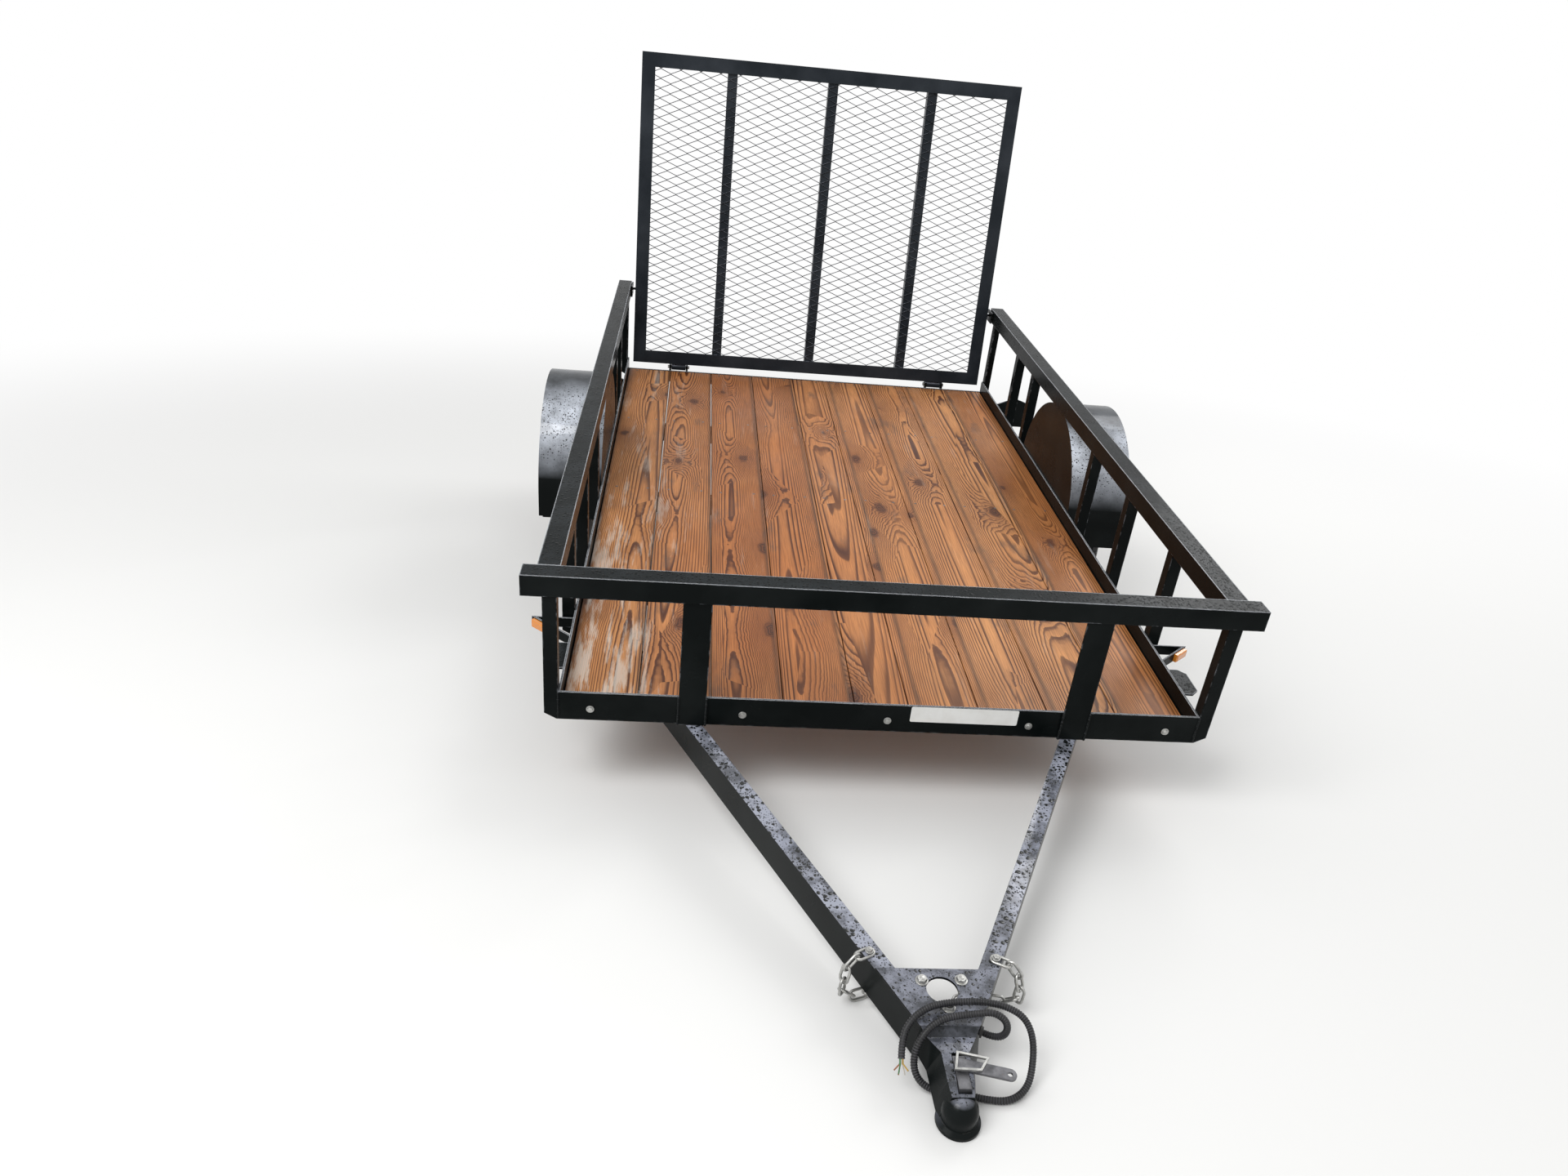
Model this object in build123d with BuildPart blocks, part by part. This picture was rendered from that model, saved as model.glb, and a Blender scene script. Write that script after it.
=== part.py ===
from build123d import *
import os
from math import atan2, asin, cos, degrees, pi, radians, sin, sqrt, tan

# Utility trailer, 5 ft wide and 8 ft long, with a mesh ramp gate.
# It is drawn level: X to the right, Y to the rear, Z up, with the front
# frame angle's face at Y = 0 and the underside of the frame at Z = 0.
# At the end every piece is turned nose down about the axle, as the trailer
# stands unhitched: on its two tyres and on the nose of its coupler.

# ---- driving dimensions (mm) ----
frame_width = 1524.0
frame_length = 2438.0
frame_height = 76.0
frame_leg = 51.0
steel = 5.0
half = frame_width / 2

board_thick = 25.4
board_gap = 3.0
board_count = 9
narrow_board = 5                  # counted from the left, ripped to fit
narrow_share = 0.76
board_end_gap = 3.0

rail_top = 381.0
rail_leg = 51.0
rail_overhang = 60.0              # side rails run past the frame's rear end
rail_front_past = 77.0            # how far the front rail runs past the frame's sides
rail_front_reach = half + rail_front_past
rail_inner = half - steel         # inner face of the side rails
rail_front_face = -10.0

post_leg = 32.0
post_thick = 4.0
front_post_width = 64.0
front_post_centre = 456.0
# name: the post's front edge along Y, and where its outward leg stands (front or rear edge)
side_posts = {
    "corner": (0.0, "front"),
    "second": (360.0, "front"),
    "third": (697.0, "front"),
    "fourth": (1029.0, "front"),
    "fifth": (1768.0, "front"),
    "sixth": (2000.0, "front"),
    "rear": (frame_length - post_leg, "rear"),
}

crossmember_places = (610.0, 1215.0, 1840.0)
crossmember_leg = 51.0

tongue_half_angle = 26.6
tongue_height = 76.0
tongue_flange = 35.0
tongue_web = 5.0
tongue_inset = 291.0              # from the frame's side to a beam's outer face, at Y = 0
tongue_tip_half = 52.8            # the outer faces' half distance at the beams' front ends
tongue_reach = half - tongue_inset
slope = tan(radians(tongue_half_angle))
across = tongue_flange / cos(radians(tongue_half_angle))
web_across = tongue_web / cos(radians(tongue_half_angle))
tongue_front = (tongue_tip_half - tongue_reach) / slope
tongue_rear = crossmember_places[0] - 0.3

# coupler
plate_length = 122.0
plate_thick = 5.0
jack_hole_radius = 28.6           # 2 1/4 in
jack_circle = 84.1                # 3 5/16 in
jack_bolt_radius = 5.0
jack_back = 75.0                  # the jack's centre, behind the beams' front ends
ball_ahead = 127.0                # the ball's centre, ahead of them
ball_z = -43.0
socket_radius = 25.8              # takes a 2 in ball
shell_wall = 5.0
rim_radius = 38.0
rim_height = 6.0
nose_bottom = -70.0
# the stamped body from the plate to the ball: distance ahead of the beams' ends,
# half width at the top and at the skirt, height of the top and of the skirt's edge
body_sections = (
    (1.0, 52.0, 58.0, 5.0, -45.0),
    (17.0, 43.0, 54.0, -4.0, -46.0),
    (49.0, 24.0, 42.0, -1.0, -49.0),
    (103.0, 23.0, 36.0, -3.0, -64.0),
    (127.0, 19.0, 34.0, -10.0, -66.0),
)
slot_half = 11.5
slot_offset = 4.0
slot_start = 50.0
slot_length = 72.0
latch_fit = 1.0
lever_width = 22.0
lever_thick = 4.5
lever_reach = 104.0
lever_turn = -14.0
bail_wire = 4.0

# safety chains, welded links of 1/4 in wire
link_wire = 6.0
link_flat = 5.0                   # through the link, which stands for the round wire's sides
link_length = 44.0
link_width = 24.0
link_play = 0.9
link_lift = 0.5                   # the first link over the beam's flange
chain_past = 1.0                  # its middle, inside the flange's edge
chain_back = {"left": 155.1, "right": 143.1}   # its middle, behind the beams' front ends
anchor_washer = (12.5, 3.0)
anchor_nut = (8.0, 7.0)
# how each link lies: heading outward of straight ahead, slope downward, twist in the link before
chain_lay = {
    "left": (
        (63, 0, 0), (59, 39, 4), (61, 82, 4), (-100, 88, 15),
        (-111, 42, 2), (-111, 1, -7), (-80, 2, 1), (-84, -10, 11)),
    "right": (
        (63, 0, 0), (62, 47, 6), (69, 71, 11), (-88, 88, 7),
        (-113, 39, 6), (-108, 9, 7), (-84, -4, 6), (-86, 0, -3)),
}

# wiring loom, lying in two loops over the coupler
loom_diameter = 13.0
loom_exit_run = 29.0
grommet_radius = 11.0
grommet_thick = 5.0
# each point: across, ahead of the beams' front ends, height
loom_points = (
    (95, -8, -39), (115, 0, -13), (108, -2, 16), (76, -7, 32), (41, -9, 23), (5, -7, 20),
    (-25, 3, 19), (-50, 20, 9), (-65, 35, -19), (-64, 51, -49), (-46, 65, -68), (-14, 71, -75.2),
    (20, 69, -75.2), (60, 75, -74.3), (98, 77, -74), (131, 58, -69), (150, 27, -52), (153, -3, -25),
    (138, -23, 0), (106, -31, 16), (72, -36, 21), (34, -38, 20), (-3, -34, 20), (-37, -23, 23),
    (-68, -5, 15), (-86, 19, -5), (-88, 45, -22),
)
loom_sides = 10
loom_wall = 1.5
loom_bore = 5.0                   # depth of the open end round the bare wires
wire_radius = 1.3
wire_circle = 3.2
wire_straight = 9.0
wire_bend = 5.0
# where each bare wire ends, seen from the loom's cut end
wire_ends = ((9, 8, 25), (-9, 10, 20), (-11, -7, 27), (7, -11, 19))

# axle, springs and wheels
axle_y = 1425.0
axle_z = -110.0
axle_tube_radius = 25.0
spindle_radius = 13.5
spindle_inside = 62.0             # from the wheel's middle to the axle tube's end
spindle_outside = 48.0
hub_play = 0.05
wheel_offset = 100.0
wheel_x = half + wheel_offset
tyre_radius = 266.0
tyre_width = 122.0
tread_half = 44.0
shoulder_drop = 28.0
rim_seat_radius = 152.4           # 12 in
rim_sheet = 4.0
flange_height = 11.6
flange_inside = 45.3              # half distance between the rim's flanges
flange_thick = 5.0
bead_play = 0.2
disc_out = 14.0                   # the disc's outer ring stands outboard of its pad
disc_pad_radius = 76.0
disc_ring_radius = 84.0
hub_hole = 36.0
hub_barrel = 32.0
hub_inside = 58.0
hub_outside = 46.0
hub_flange_radius = 70.0
hub_flange_thick = 8.0
cap_radius = 26.0
cap_length = 14.0
cap_thick = 8.0
stud_radius = 6.0
stud_hole = 7.5
stud_reach = 12.0
nut_radius = 11.0
nut_height = 16.0
lug_circle = 114.3                # 4 1/2 in
lug_count = 5
spring_inset = 72.0
spring_x = half - spring_inset
spring_width = 45.0
leaf_thick = 6.0
leaf_shares = (1, 0.78, 0.5)      # each leaf's reach as a share of the main leaf's
eye_span = 640.0
eye_drop = 42.0
eye_outer = 14.0
eye_bore = 7.2
pin_play = 0.2
hanger_thick = 5.0
hanger_gap = 1.0
hanger_top = 38.0
hanger_foot = 16.0
saddle_thick = 5.0
clamp_thick = 6.0
clamp_gap = 0.7
clamp_length = 90.0
clamp_past = 20.0

# fenders
fender_gap = 32.0                 # over the tyre's radius
fender_radius = tyre_radius + fender_gap
fender_centre_z = 36.0
fender_width = 196.0
fender_sheet = 2.0
fender_bottom = -39.0
fender_lip = 12.0
stay_width = 24.0
stay_thick = 4.0

# lamps and their brackets
marker_rear = 355.0
marker_front = 265.0
marker_reach = 108.0
marker_z = 30.0
marker_strip = 28.0
strip_thick = 3.5
marker_lamp = (50.0, 22.0, 12.0)
marker_lamp_along = 34.0          # from the bracket's outer corner to the lamp's middle
tail_y = 2170.0
tail_plate_thick = 4.0
tail_reach = 143.0
tail_low = -20.0
tail_heights = (71.0, 102.0, 78.0)  # the plate's top, at the frame, its peak and its outer edge
tail_peak = 73.0
tail_lamp = (112.0, 78.0, 30.0)
tail_lamp_z = 28.0
lens_chamfer = 3.0
tie_plate_front = 115.0
tie_plate_length = 110.0
tie_plate_reach = 50.0
tie_plate_corner = 18.0
tie_plate_z = 60.0

# ramp gate
gate_side_gap = 16.0
gate_width = 2 * rail_inner - 2 * gate_side_gap
gate_height = 1182.0
gate_leg = 51.0
gate_bottom = 56.0
gate_front = frame_length + 4.0
gate_lean = 6.6                   # degrees to the rear, against the frame
gate_bar_width = 38.0
gate_bar_spacing = 393.0
gate_bar_leg = 34.0
bar_thick = 5.0
mesh_long = 76.2                  # 1 1/2 in expanded metal, long way of the diamond
mesh_short = 33.9
mesh_strand = 3.2
mesh_layer = 1.6
mesh_layer_gap = 0.3
mesh_seat = 0.3                   # between the frame's face and the mesh
mesh_margin = 18.0                # how far the mesh reaches behind the frame's legs
mesh_band = 6.0
hinge_y = frame_length + 18.5
hinge_z = 42.0
hinge_x = 550.0
hinge_pin_radius = 6.3
hinge_play = 0.3
barrel_radius = 12.5
barrel_half = 30.0
lug_thick = 8.0
lug_gap = 1.0
gate_floor_gap = 8.0
latch_height = 310.0              # above the hinge
latch_stud_radius = 5.0
latch_stud_length = 11.0
keeper_thick = 6.0
keeper_height = 44.0
keeper_slot = 14.0
keeper_front = 46.0               # from the rail's end to the keeper's front edge
keeper_rear = 26.0

os.makedirs("parts", exist_ok=True)
fixed_pieces = {}
gate_pieces = {}


def angle_section(wide, high, thick):
    """L shape with its corner at the origin; signs of wide and high turn it."""
    sx = 1 if wide > 0 else -1
    sy = 1 if high > 0 else -1
    with BuildSketch() as section:
        with BuildLine():
            Polyline(
                (0, 0), (wide, 0), (wide, sy * thick), (sx * thick, sy * thick),
                (sx * thick, high), (0, high), close=True)
        make_face()
    return section.sketch


def plane_x(x, y=0, z=0):
    return Plane(origin=(x, y, z), x_dir=(0, 1, 0), z_dir=(1, 0, 0))


def plane_y(y, x=0, z=0):
    return Plane(origin=(x, y, z), x_dir=(1, 0, 0), z_dir=(0, -1, 0))


# ---- the parked stance ----
# The ground touches the tyres and the coupler's rim. Seen from the side, the
# line from the axle to the rim's lowest corner turns until both reach it.
ball_y = tongue_front - ball_ahead
rim_corner = (ball_y - rim_radius - axle_y, nose_bottom - axle_z)
corner_distance = sqrt(rim_corner[0] ** 2 + rim_corner[1] ** 2)
rest_angle = asin(-tyre_radius / corner_distance)
level_angle = atan2(rim_corner[1], -rim_corner[0])
pitch = degrees(level_angle - rest_angle)
print("nose-down pitch", round(pitch, 3))

nose_down = Location((0, 0, tyre_radius)) * Rotation(pitch, 0, 0) * Location((0, -axle_y, -axle_z))
gate_turn = Location((0, hinge_y, hinge_z)) * Rotation(-gate_lean, 0, 0) * Location((0, -hinge_y, -hinge_z))


def ground_height(y):
    """Height of the ground under the level trailer's Y."""
    return nose_bottom - tan(radians(pitch)) * (y - ball_y + rim_radius)


# ---- frame ----
with BuildPart() as frame_front:
    with BuildSketch(plane_x(-half)):
        add(angle_section(frame_leg, frame_height, steel))
    extrude(amount=frame_width)
fixed_pieces["frame_front"] = frame_front

rear_lip = steel + board_thick + 1.6
with BuildPart() as frame_rear:
    with BuildSketch(plane_x(-half, frame_length)):
        add(angle_section(-frame_leg, rear_lip, steel))
    extrude(amount=frame_width)
fixed_pieces["frame_rear"] = frame_rear

for side, word in ((-1, "left"), (1, "right")):
    with BuildPart() as frame_side:
        with BuildSketch(plane_y(frame_length, side * half)):
            add(angle_section(-side * frame_leg, frame_height, steel))
        extrude(amount=frame_length - steel)
        # notches for the legs of the front and rear angles
        with BuildSketch(Plane.XY.offset(-1)):
            for y in (0, frame_length):
                with Locations((side * half, y)):
                    Rectangle(2 * frame_leg + 2, 2 * frame_leg)
        extrude(amount=steel + 1, mode=Mode.SUBTRACT)
        with BuildSketch(plane_x(side * half - frame_leg)):
            with Locations((frame_length, 0)):
                Rectangle(2 * steel, 2 * rear_lip)
        extrude(amount=2 * frame_leg, mode=Mode.SUBTRACT)
    fixed_pieces["frame_" + word] = frame_side

for number, y in enumerate(crossmember_places, 1):
    with BuildPart() as crossmember:
        with BuildSketch(plane_x(-half + frame_leg, y, steel)):
            add(angle_section(crossmember_leg, -crossmember_leg, steel))
        extrude(amount=frame_width - 2 * frame_leg)
    fixed_pieces[f"crossmember_{number}"] = crossmember

# ---- deck ----
deck_width = frame_width - 2 * steel - 2 * board_end_gap
full_board = (deck_width - (board_count - 1) * board_gap) / (board_count - 1 + narrow_share)
board_left = -deck_width / 2
for number in range(1, board_count + 1):
    width = full_board * (narrow_share if number == narrow_board else 1)
    with BuildPart() as board:
        with BuildSketch(Plane.XY.offset(steel)):
            with Locations((board_left + width / 2, frame_length / 2)):
                Rectangle(width, frame_length - 2 * (steel + board_end_gap))
        extrude(amount=board_thick)
    fixed_pieces[f"deck_board_{number}"] = board
    board_left += width + board_gap

# ---- rails and posts ----
with BuildPart() as rail_front:
    with BuildSketch(plane_x(-rail_front_reach, rail_front_face, rail_top)):
        add(angle_section(rail_leg, -rail_leg, steel))
    extrude(amount=2 * rail_front_reach)
fixed_pieces["rail_front"] = rail_front

rail_start = rail_front_face + rail_leg
for side, word in ((-1, "left"), (1, "right")):
    with BuildPart() as rail_side:
        with BuildSketch(plane_y(frame_length + rail_overhang, side * rail_inner, rail_top)):
            add(angle_section(side * rail_leg, -rail_leg, steel))
        extrude(amount=frame_length + rail_overhang - rail_start)
    fixed_pieces["rail_" + word] = rail_side

post_top = rail_top - steel
for side, word in ((-1, "left"), (1, "right")):
    with BuildPart() as posts:
        for front_edge, outward in side_posts.values():
            corner_y = front_edge if outward == "front" else front_edge + post_leg
            run = post_leg if outward == "front" else -post_leg
            with BuildSketch(Plane(origin=(side * half, corner_y, 0))):
                add(angle_section(side * post_leg, run, post_thick))
            extrude(amount=post_top)
        # the foot of each outward leg is cut back at a slant
        with BuildSketch(plane_y(frame_length)):
            with BuildLine():
                Polyline(
                    (side * (half + 2 * post_leg), 0), (side * (half + post_thick), 0),
                    (side * (half + post_leg), post_leg / 2),
                    (side * (half + 2 * post_leg), post_leg / 2), close=True)
            make_face()
        extrude(amount=frame_length, mode=Mode.SUBTRACT)
    fixed_pieces["posts_" + word] = posts

with BuildPart() as posts_front:
    for side in (-1, 1):
        outer = side * (front_post_centre + front_post_width / 2)
        with BuildSketch(Plane(origin=(outer, -steel, frame_height))):
            add(angle_section(-side * front_post_width, post_leg, post_thick))
        extrude(amount=post_top - frame_height)
        with BuildSketch(Plane.XY):
            with Locations((side * front_post_centre, -steel + post_thick / 2)):
                Rectangle(front_post_width, post_thick)
        extrude(amount=frame_height)
fixed_pieces["posts_front"] = posts_front

# ---- tongue ----
def tongue_strip(side, outer_in, inner_in):
    """Plan of a strip along a tongue beam, between two offsets from its outer face."""
    rear_x = tongue_reach + slope * tongue_rear
    front_x = tongue_reach + slope * tongue_front
    with BuildSketch() as strip:
        with BuildLine():
            Polyline(
                (side * (rear_x - outer_in), tongue_rear),
                (side * (front_x - outer_in), tongue_front),
                (side * (front_x - inner_in), tongue_front),
                (side * (rear_x - inner_in), tongue_rear), close=True)
        make_face()
    return strip.sketch


for side, word in ((-1, "left"), (1, "right")):
    with BuildPart() as tongue:
        for level in (-tongue_web, -tongue_height):
            with BuildSketch(Plane.XY.offset(level)):
                add(tongue_strip(side, 0, across))
            extrude(amount=tongue_web)
        with BuildSketch(Plane.XY.offset(-tongue_height)):
            add(tongue_strip(side, 0, web_across))
        extrude(amount=tongue_height)
    fixed_pieces["tongue_" + word] = tongue

# ---- coupler ----
plate_rear = tongue_front + plate_length
plate_half = tongue_reach + slope * plate_rear
jack_y = tongue_front + jack_back


def body_loft(inset, below):
    """The stamped body's form, drawn in by a wall and lengthened below its skirt."""
    with BuildPart() as body:
        for ahead, top_half, skirt_half, top, skirt in body_sections:
            with BuildSketch(plane_y(tongue_front - ahead)):
                with BuildLine():
                    Polyline(
                        (-top_half + inset, top - inset), (top_half - inset, top - inset),
                        (skirt_half - inset, skirt - below), (-skirt_half + inset, skirt - below), close=True)
                make_face()
        loft(ruled=True)
    return body.part


body_outer = body_loft(0, 0)
body_inner = body_loft(shell_wall, 2)
with BuildPart() as coupler:
    add(body_outer)
    add(body_inner, mode=Mode.SUBTRACT)
    # slot for the latch
    with BuildSketch(Plane.XY.offset(body_sections[2][3] - 4 * shell_wall)):
        with Locations((slot_offset, tongue_front - slot_start - slot_length / 2)):
            Rectangle(2 * slot_half, slot_length)
    extrude(amount=8 * shell_wall, mode=Mode.SUBTRACT)
    with BuildSketch(Plane.XY):
        with BuildLine():
            Polyline(
                (-plate_half, plate_rear), (plate_half, plate_rear),
                (tongue_tip_half, tongue_front - 1), (-tongue_tip_half, tongue_front - 1), close=True)
        make_face()
        with Locations((0, jack_y)):
            Circle(jack_hole_radius, mode=Mode.SUBTRACT)
            with PolarLocations(jack_circle / 2, 3, start_angle=-90):
                Circle(jack_bolt_radius, mode=Mode.SUBTRACT)
    extrude(amount=plate_thick)
    # ball housing with its flared rim
    with BuildSketch(plane_x(0, ball_y, ball_z)):
        with BuildLine():
            outer_wall = socket_radius + shell_wall
            rim_low = nose_bottom - ball_z
            Polyline((0, outer_wall), (0, rim_low), (rim_radius, rim_low),
                     (rim_radius, rim_low + rim_height), (outer_wall, rim_low + 2 * rim_height),
                     (outer_wall, 0))
            RadiusArc((outer_wall, 0), (0, outer_wall), -outer_wall)
        make_face()
    revolve(axis=Axis((0, ball_y, 0), (0, 0, 1)))
    with Locations((0, ball_y, ball_z)):
        Sphere(socket_radius, mode=Mode.SUBTRACT)
    with BuildSketch(Plane(origin=(0, ball_y, nose_bottom))):
        Circle(socket_radius)
    extrude(amount=ball_z - nose_bottom, mode=Mode.SUBTRACT)
fixed_pieces["coupler"] = coupler

lever_z = body_sections[2][3] + 0.3
pivot_y = tongue_front - slot_start - 24
with BuildPart() as coupler_latch:
    with BuildSketch(Plane(origin=(slot_offset, pivot_y, lever_z), x_dir=Vector(1, 0, 0).rotate(Axis.Z, lever_turn))):
        with Locations((lever_reach / 2 - slot_half, 0)):
            SlotOverall(lever_reach, lever_width)
        with Locations((lever_reach - slot_half - lever_width / 2, 0)):
            Circle(lever_width / 5, mode=Mode.SUBTRACT)
    extrude(amount=lever_thick)
    with BuildSketch(plane_x(slot_offset - slot_half + latch_fit, pivot_y, lever_z)):
        with BuildLine():
            Polyline(
                (18, 0), (-44, 0), (-44, -10), (-20, -16), (18, -12), close=True)
        make_face()
    extrude(amount=2 * (slot_half - latch_fit))
fixed_pieces["coupler_latch"] = coupler_latch

bail_corners = ((0, 22), (54, 9), (36, -16), (-10, -14))
with BuildPart() as latch_wire:
    with BuildSketch(Plane(origin=(0, pivot_y, lever_z + lever_thick + 0.3))):
        with BuildLine():
            Polyline(*bail_corners, close=True)
        make_face()
        offset(amount=-bail_wire, mode=Mode.SUBTRACT)
    extrude(amount=bail_wire)
fixed_pieces["latch_wire"] = latch_wire

# ---- safety chains ----
link_end = link_width / 2
bar_reach = (link_length - link_wire) / 2


def stadium(half_width, half_length):
    """A link's outline with six-sided ends, as a closed list of points."""
    bend = half_length - half_width
    corner = half_width * tan(radians(30))
    return (
        (-bend, half_width), (bend, half_width), (half_length, corner), (half_length, -corner),
        (bend, -half_width), (-bend, -half_width), (-half_length, -corner), (-half_length, corner))


with BuildPart() as link:
    with BuildSketch():
        with BuildLine():
            Polyline(*stadium(link_end, link_length / 2), close=True)
        make_face()
        with BuildLine():
            Polyline(*stadium(link_end - link_wire, link_length / 2 - link_wire), close=True)
        make_face(mode=Mode.SUBTRACT)
    extrude(amount=link_flat / 2, both=True)


def bar_half(direction, run, face):
    """Half a link's bar, measured along a direction."""
    return (abs(direction.dot(run)) * link_wire + abs(direction.dot(face)) * link_flat) / 2


def laid_links(side, first_middle, lay):
    """Links hooked one into the next. The two bars of each hook stand apart along the
    direction square to both, so any bend leaves the same play and nothing touches."""
    middle = first_middle
    face = Vector(0, 0, 1)
    before = None
    links = []
    for heading, fall, twist in lay:
        level_part = cos(radians(fall))
        run = Vector(
            side * level_part * sin(radians(heading)), -level_part * cos(radians(heading)), -sin(radians(fall)))
        if before:
            face = face.cross(run).normalized()
        face = face.rotate(Axis((0, 0, 0), run), side * twist)
        wide = face.cross(run)
        if before:
            run_before, face_before, bar = before
            hook = face_before.cross(run_before).cross(wide).normalized()
            if hook.dot(run) < 0:
                hook = -hook
            apart = bar_half(hook, run_before, face_before) + bar_half(hook, run, face) + link_play
            middle = bar - hook * apart + run * bar_reach
        links.append(Plane(origin=middle, x_dir=run, z_dir=face).location * link.part)
        before = (run, face, middle + run * bar_reach)
    return links


anchors = []
for side, word in ((-1, "left"), (1, "right")):
    chain_y = tongue_front + chain_back[word]
    edge = tongue_reach + slope * chain_y
    outward = Vector(side * cos(radians(tongue_half_angle)), -sin(radians(tongue_half_angle)), 0)
    first_middle = Vector(
        side * (edge - chain_past / cos(radians(tongue_half_angle))), chain_y, link_flat / 2 + link_lift)
    with BuildPart() as chain:
        add(laid_links(side, first_middle, chain_lay[word]))
    fixed_pieces["chain_" + word] = chain
    bolt_place = first_middle - outward * (link_length / 2 - link_wire - link_end / 2)
    top = link_flat + 2 * link_lift
    with BuildPart() as anchor:
        for radius, low, tall in (
                (link_end / 2 - 2 * link_lift, 0, top),
                (anchor_washer[0], top, anchor_washer[1])):
            with BuildSketch(Plane(origin=(bolt_place.X, bolt_place.Y, low))):
                Circle(radius)
            extrude(amount=tall)
        with BuildSketch(Plane(origin=(bolt_place.X, bolt_place.Y, top + anchor_washer[1]))):
            RegularPolygon(anchor_nut[0], 6)
        extrude(amount=anchor_nut[1])
    anchors.append(anchor.part)
with BuildPart() as chain_anchors:
    add(anchors)
fixed_pieces["chain_anchors"] = chain_anchors

# ---- wiring loom ----
outward_turn = Vector(cos(radians(tongue_half_angle)), -sin(radians(tongue_half_angle)), 0)
loom_corners = [Vector(x, tongue_front - ahead, z) for x, ahead, z in loom_points]
loom_exit = loom_corners[0] - outward_turn * loom_exit_run
web_face = loom_exit - outward_turn * grommet_thick
with BuildPart() as loom_grommet:
    with BuildSketch(Plane(origin=web_face, z_dir=outward_turn)):
        RegularPolygon(grommet_radius, 2 * loom_sides)
    extrude(amount=grommet_thick, taper=14)
fixed_pieces["harness_grommet"] = loom_grommet


def corner_radii(points):
    """Largest arc at each corner: 0.45 of the shorter run over the tangent of half the turn."""
    radii = []
    for before, here, after in zip(points, points[1:], points[2:]):
        turn = radians((here - before).get_angle(after - here))
        shorter = min((here - before).length, (after - here).length)
        radii.append(0.45 * shorter / tan(turn / 2))
    return radii


loom_route = [loom_exit] + loom_corners
loom_radii = corner_radii(loom_route)
print("loom radii", [round(r) for r in loom_radii])
with BuildPart() as loom:
    with BuildLine():
        path = FilletPolyline(*loom_route, radius=loom_radii)
    with BuildSketch(Plane(origin=path @ 0, z_dir=path % 0)) as loom_section:
        RegularPolygon(loom_diameter / 2, loom_sides)
    sweep()
print("loom length", round(path.length, 1), "volume share",
      round(loom.part.volume / (path.length * loom_section.sketch.area), 4))
cut_end = Plane(origin=path @ 1, z_dir=path % 1)
with BuildPart() as open_loom:
    add(loom.part)
    with BuildSketch(cut_end):
        RegularPolygon(loom_diameter / 2 - loom_wall, loom_sides)
    extrude(amount=-loom_bore, mode=Mode.SUBTRACT)
fixed_pieces["harness_loom"] = open_loom

with BuildPart() as bare_wires:
    for number, end in enumerate(wire_ends):
        spread = Vector(wire_circle, 0, 0).rotate(Axis.Z, 45 + 90 * number)
        start = cut_end.offset(-loom_bore).from_local_coords(spread)
        bend = cut_end.offset(wire_straight).from_local_coords(spread)
        with BuildLine():
            bow = FilletPolyline(start, bend, cut_end.from_local_coords(end), radius=wire_bend)
        with BuildSketch(Plane(origin=bow @ 0, z_dir=bow % 0)):
            RegularPolygon(wire_radius, 6)
        sweep(path=bow)
fixed_pieces["harness_wires"] = bare_wires

# ---- axle and springs ----
spindle_inner = wheel_x - spindle_inside
spindle_tip = wheel_x + spindle_outside
with BuildPart() as axle:
    with BuildSketch(plane_x(-spindle_inner, axle_y, axle_z)):
        Circle(axle_tube_radius)
    extrude(amount=2 * spindle_inner)
    with BuildSketch(plane_x(-spindle_tip, axle_y, axle_z)):
        Circle(spindle_radius)
    extrude(amount=2 * spindle_tip)
fixed_pieces["axle"] = axle

saddle_z = axle_z + axle_tube_radius
main_top = saddle_z + saddle_thick + len(leaf_shares) * leaf_thick
eye_z = -eye_drop
sag = eye_z - (main_top - leaf_thick / 2)
for side, word in ((-1, "left"), (1, "right")):
    inner_face = side * spring_x - spring_width / 2
    with BuildPart() as spring:
        for layer, share in enumerate(leaf_shares):
            reach = eye_span / 2 * share
            drop = sag * share ** 2
            low = main_top - (layer + 1) * leaf_thick
            with BuildSketch(plane_x(inner_face, axle_y, low)):
                with BuildLine():
                    ThreePointArc((-reach, drop), (0, 0), (reach, drop))
                    Line((reach, drop), (reach, drop + leaf_thick))
                    ThreePointArc((reach, drop + leaf_thick), (0, leaf_thick), (-reach, drop + leaf_thick))
                    Line((-reach, drop + leaf_thick), (-reach, drop))
                make_face()
            extrude(amount=spring_width)
        with BuildSketch(plane_x(inner_face, axle_y, eye_z)):
            with Locations((-eye_span / 2, 0), (eye_span / 2, 0)):
                Circle(eye_outer)
        extrude(amount=spring_width)
        with BuildSketch(plane_x(inner_face, axle_y, eye_z)):
            with Locations((-eye_span / 2, 0), (eye_span / 2, 0)):
                Circle(eye_bore)
        extrude(amount=spring_width, mode=Mode.SUBTRACT)
    fixed_pieces["spring_" + word] = spring

    cheek = spring_width / 2 + hanger_gap
    with BuildPart() as hangers:
        for end in (-1, 1):
            eye_y = axle_y + end * eye_span / 2
            for face in (-1, 1):
                start = side * spring_x + face * (cheek + hanger_thick / 2) - hanger_thick / 2
                with BuildSketch(plane_x(start, eye_y, 0)):
                    with BuildLine():
                        Polyline(
                            (-hanger_top, 0), (hanger_top, 0), (hanger_foot, eye_z - eye_outer),
                            (-hanger_foot, eye_z - eye_outer), close=True)
                    make_face()
                extrude(amount=hanger_thick)
            pin_half = cheek + 2 * hanger_thick
            with BuildSketch(plane_x(side * spring_x - pin_half, eye_y, eye_z)):
                Circle(eye_bore - pin_play)
            extrude(amount=2 * pin_half)
    fixed_pieces["spring_hangers_" + word] = hangers

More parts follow.
